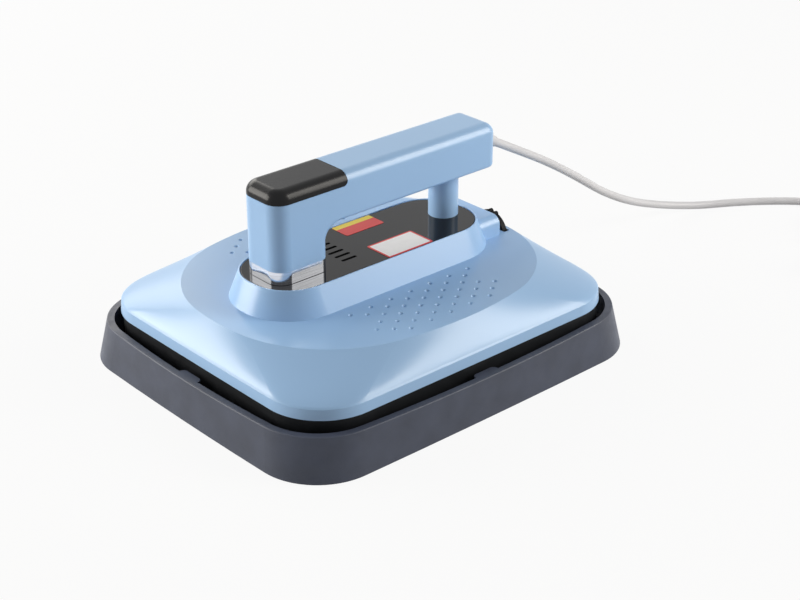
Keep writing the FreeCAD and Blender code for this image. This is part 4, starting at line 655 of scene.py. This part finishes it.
def add_lamp(name, azimuth, elevation, size, power):
    """A soft lamp of a width and height, in a direction in degrees from the press and aimed at it."""
    light = bpy.data.lights.new(name, "AREA")
    light.shape = "RECTANGLE"
    light.size, light.size_y = size
    light.energy = power
    light.color = LAMP_COLOUR
    lamp = bpy.data.objects.new(name, light)
    bpy.context.scene.collection.objects.link(lamp)
    towards = direction(math.radians(azimuth), math.radians(elevation))
    lamp.location = LAMP_AIM + towards * LAMP_DISTANCE
    lamp.rotation_mode = "QUATERNION"
    lamp.rotation_quaternion = (-towards).to_track_quat("-Z", "Y")


def direction(azimuth, elevation):
    """Towards an azimuth that counts from -Y, and an elevation over the horizon, in radians."""
    level = math.cos(elevation)
    return Vector((math.sin(azimuth) * level, -math.cos(azimuth) * level, math.sin(elevation)))


def make_camera():
    data = bpy.data.cameras.new("studio_camera")
    data.sensor_width = SENSOR_WIDTH
    data.lens = studio().lens
    camera = bpy.data.objects.new("studio_camera", data)
    bpy.context.scene.collection.objects.link(camera)
    camera.location = CAMERA_PLACE
    camera.rotation_mode = "QUATERNION"
    away = -direction(studio().azimuth, studio().elevation)
    camera.rotation_quaternion = away.to_track_quat("-Z", "Y")
    bpy.context.scene.camera = camera


class HEATPRESS_OT_studio(bpy.types.Operator):
    """Adds the floor, the lamps, the even light and the camera"""
    bl_idname = "heatpress.studio"
    bl_label = "Studio"

    def execute(self, context):
        make_floor()
        make_world()
        settings = studio()
        add_lamp("left_lamp", power=settings.left_power, **LEFT_LAMP)
        add_lamp("right_lamp", power=settings.right_power, **RIGHT_LAMP)
        add_lamp("back_lamp", power=settings.back_power, **BACK_LAMP)
        make_camera()
        context.scene.view_settings.view_transform = "Standard"
        return {"FINISHED"}


class HEATPRESS_OT_cord(bpy.types.Operator):
    """Lays the mains cord from the handle to its plug"""
    bl_idname = "heatpress.cord"
    bl_label = "Mains cord"

    def execute(self, context):
        jacket = cord_jacket()
        make_cord().data.materials.append(jacket)
        paint(jacket, "supply_lead")
        paint(soft_moulding("cord_guard", colours().cord), "strain_relief")
        paint(soft_moulding("plug", shade(colours().cord, 0.96)), "plug_body")
        paint(brass(), "plug_pins")
        paint(woven_strap(), "cord_tie")
        return {"FINISHED"}


class HEATPRESS_OT_shell(bpy.types.Operator):
    """Finishes the pale mouldings of the lid, the plinth and the handle"""
    bl_idname = "heatpress.shell"
    bl_label = "Shell"

    def execute(self, context):
        paint(moulded_shell(), "lid_cover", "handle_plinth", "handle_shell", "handle_underside", "rear_post")
        return {"FINISHED"}


class HEATPRESS_OT_controls(bpy.types.Operator):
    """Finishes the control cap, the panel, its labels and the trim ring"""
    bl_idname = "heatpress.controls"
    bl_label = "Controls and panel"

    def execute(self, context):
        paint(gloss_black("cap_gloss", roughness=0.25), "display_cap")
        paint(gloss_black("panel_gloss", roughness=0.05), "plinth_panel")
        red, white = colours().label_red, colours().label_white
        striped = film("label_red", red, red, "blank_label_red", stripe=RED_LABEL_STRIPE)
        bordered = film("label_white", white, red, "blank_label_white", border=WHITE_LABEL_BORDER)
        paint(striped, "blank_label_red")
        paint(bordered, "blank_label_white")
        paint(chrome(), "column_trim_ring")
        return {"FINISHED"}


class HEATPRESS_OT_tray(bpy.types.Operator):
    """Finishes the tray, its feet, mat, liner and rests"""
    bl_idname = "heatpress.tray"
    bl_label = "Tray"

    def execute(self, context):
        plastic = grained_plastic(
            "tray_plastic", colours().tray, roughness=0.45, grain=0.0005, depth=0.00004, specular=0.45)
        paint(plastic, "tray_shell")
        paint(rubber("foot_rubber", FOOT_BLACK), "tray_feet")
        paint(felt("fibre_mat", MAT_BROWN), "heat_mat")
        paint(rolled_metal("liner_foil", FOIL, roughness=0.32, grain_axis="X"), "liner_sheet")
        paint(rubber("silicone", SILICONE_GREY), "plate_rests")
        return {"FINISHED"}


class HEATPRESS_OT_heating_deck(bpy.types.Operator):
    """Finishes the frame, the heating plate and what is bolted to them"""
    bl_idname = "heatpress.heating_deck"
    bl_label = "Heating deck"

    def execute(self, context):
        plastic = grained_plastic(
            "frame_plastic", FRAME_BLACK, roughness=0.45, grain=0.0006, depth=0.00004, specular=0.2)
        paint(plastic, "base_frame")
        ground = rolled_metal("ground_aluminium", GROUND_ALUMINIUM, roughness=0.36, grain_axis="Y")
        paint(ground, "heating_plate")
        paint(annealed_sheath(), "heater_tube")
        paint(ceramic(), "heater_terminals", "temperature_sensor", "terminal_block")
        paint(zinc_spangle(), "clamp_sheet", "backing_plate")
        paint(felt("fibre_blanket", BLANKET_WHITE), "insulation_blanket")
        spring_steel = rolled_metal("spring_steel", CLIP_STEEL, roughness=0.3, grain_axis="X")
        paint(spring_steel, "sensor_clip", "thermal_fuse")
        phenolic = grained_plastic("phenolic", PHENOLIC_BROWN, roughness=0.5, grain=0.001, depth=0.00005)
        paint(phenolic, "cutout_thermostat")
        return {"FINISHED"}


class HEATPRESS_OT_fasteners(bpy.types.Operator):
    """Finishes the screws, the standoffs, the bolt and the nut"""
    bl_idname = "heatpress.fasteners"
    bl_label = "Fasteners"

    def execute(self, context):
        screws = [name for name in NODES if name.endswith("_screws")]
        paint(plated_steel(), *screws, "standoffs", "post_bolt", "post_nut", "touch_springs")
        return {"FINISHED"}


class HEATPRESS_OT_inner_frame(bpy.types.Operator):
    """Finishes the pillar, the spacer and the clamp inside the handle"""
    bl_idname = "heatpress.inner_frame"
    bl_label = "Inner frame"

    def execute(self, context):
        plastic = grained_plastic("inner_plastic", INNER_BLACK, roughness=0.5, grain=0.0008, depth=0.00004)
        paint(plastic, "front_pillar", "post_spacer", "cord_clamp")
        return {"FINISHED"}


class HEATPRESS_OT_electronics(bpy.types.Operator):
    """Finishes the boards, their components and the leads"""
    bl_idname = "heatpress.electronics"
    bl_label = "Electronics"

    def execute(self, context):
        paint(circuit_board(), "display_board", "control_board")
        parts = grained_plastic(
            "component_plastic", COMPONENT_BLACK, roughness=0.42, grain=0.0006, depth=0.00003)
        paint(parts, "display_module", "power_parts", "dial_potentiometer")
        paint(rubber("lead_insulation", LEAD_GREY), "heater_leads")
        return {"FINISHED"}


class HEATPRESS_OT_dial(bpy.types.Operator):
    """Finishes the dial's wheel, spindle and bracket"""
    bl_idname = "heatpress.dial"
    bl_label = "Dial"

    def execute(self, context):
        plastic = grained_plastic(
            "dial_plastic", DIAL_BLACK, roughness=0.45, grain=0.0006, depth=0.00003, specular=0.08)
        paint(plastic, "dial_wheel", "dial_bracket")
        paint(rolled_metal("spindle_steel", SPINDLE_STEEL, roughness=0.28, grain_axis="Y"), "dial_spindle")
        return {"FINISHED"}


STEPS = [
    HEATPRESS_OT_studio, HEATPRESS_OT_cord, HEATPRESS_OT_shell, HEATPRESS_OT_controls, HEATPRESS_OT_tray,
    HEATPRESS_OT_heating_deck, HEATPRESS_OT_fasteners, HEATPRESS_OT_inner_frame, HEATPRESS_OT_electronics,
    HEATPRESS_OT_dial,
]


class HEATPRESS_PT_panel(bpy.types.Panel):
    """Lists the steps that dress the heat press"""
    bl_idname = "HEATPRESS_PT_panel"
    bl_label = "Heat press"
    bl_space_type = "VIEW_3D"
    bl_region_type = "UI"
    bl_category = "Heat Press"

    def draw(self, context):
        column = self.layout.column(align=True)
        for step in STEPS:
            column.operator(step.bl_idname)


CLASSES = [HeatPressSizes, HeatPressColours, HeatPressStudio, *STEPS, HEATPRESS_PT_panel]


def register():
    for item in CLASSES:
        bpy.utils.register_class(item)
    bpy.types.Scene.heat_press_sizes = PointerProperty(type=HeatPressSizes)
    bpy.types.Scene.heat_press_colours = PointerProperty(type=HeatPressColours)
    bpy.types.Scene.heat_press_studio = PointerProperty(type=HeatPressStudio)


def unregister():
    del bpy.types.Scene.heat_press_studio
    del bpy.types.Scene.heat_press_colours
    del bpy.types.Scene.heat_press_sizes
    for item in reversed(CLASSES):
        bpy.utils.unregister_class(item)


def main():
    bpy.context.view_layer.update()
    register()
    bpy.ops.heatpress.studio()
    bpy.ops.heatpress.cord()
    bpy.ops.heatpress.shell()
    bpy.ops.heatpress.controls()
    bpy.ops.heatpress.tray()
    bpy.ops.heatpress.heating_deck()
    bpy.ops.heatpress.fasteners()
    bpy.ops.heatpress.inner_frame()
    bpy.ops.heatpress.electronics()
    bpy.ops.heatpress.dial()


if __name__ == "__main__":
    main()
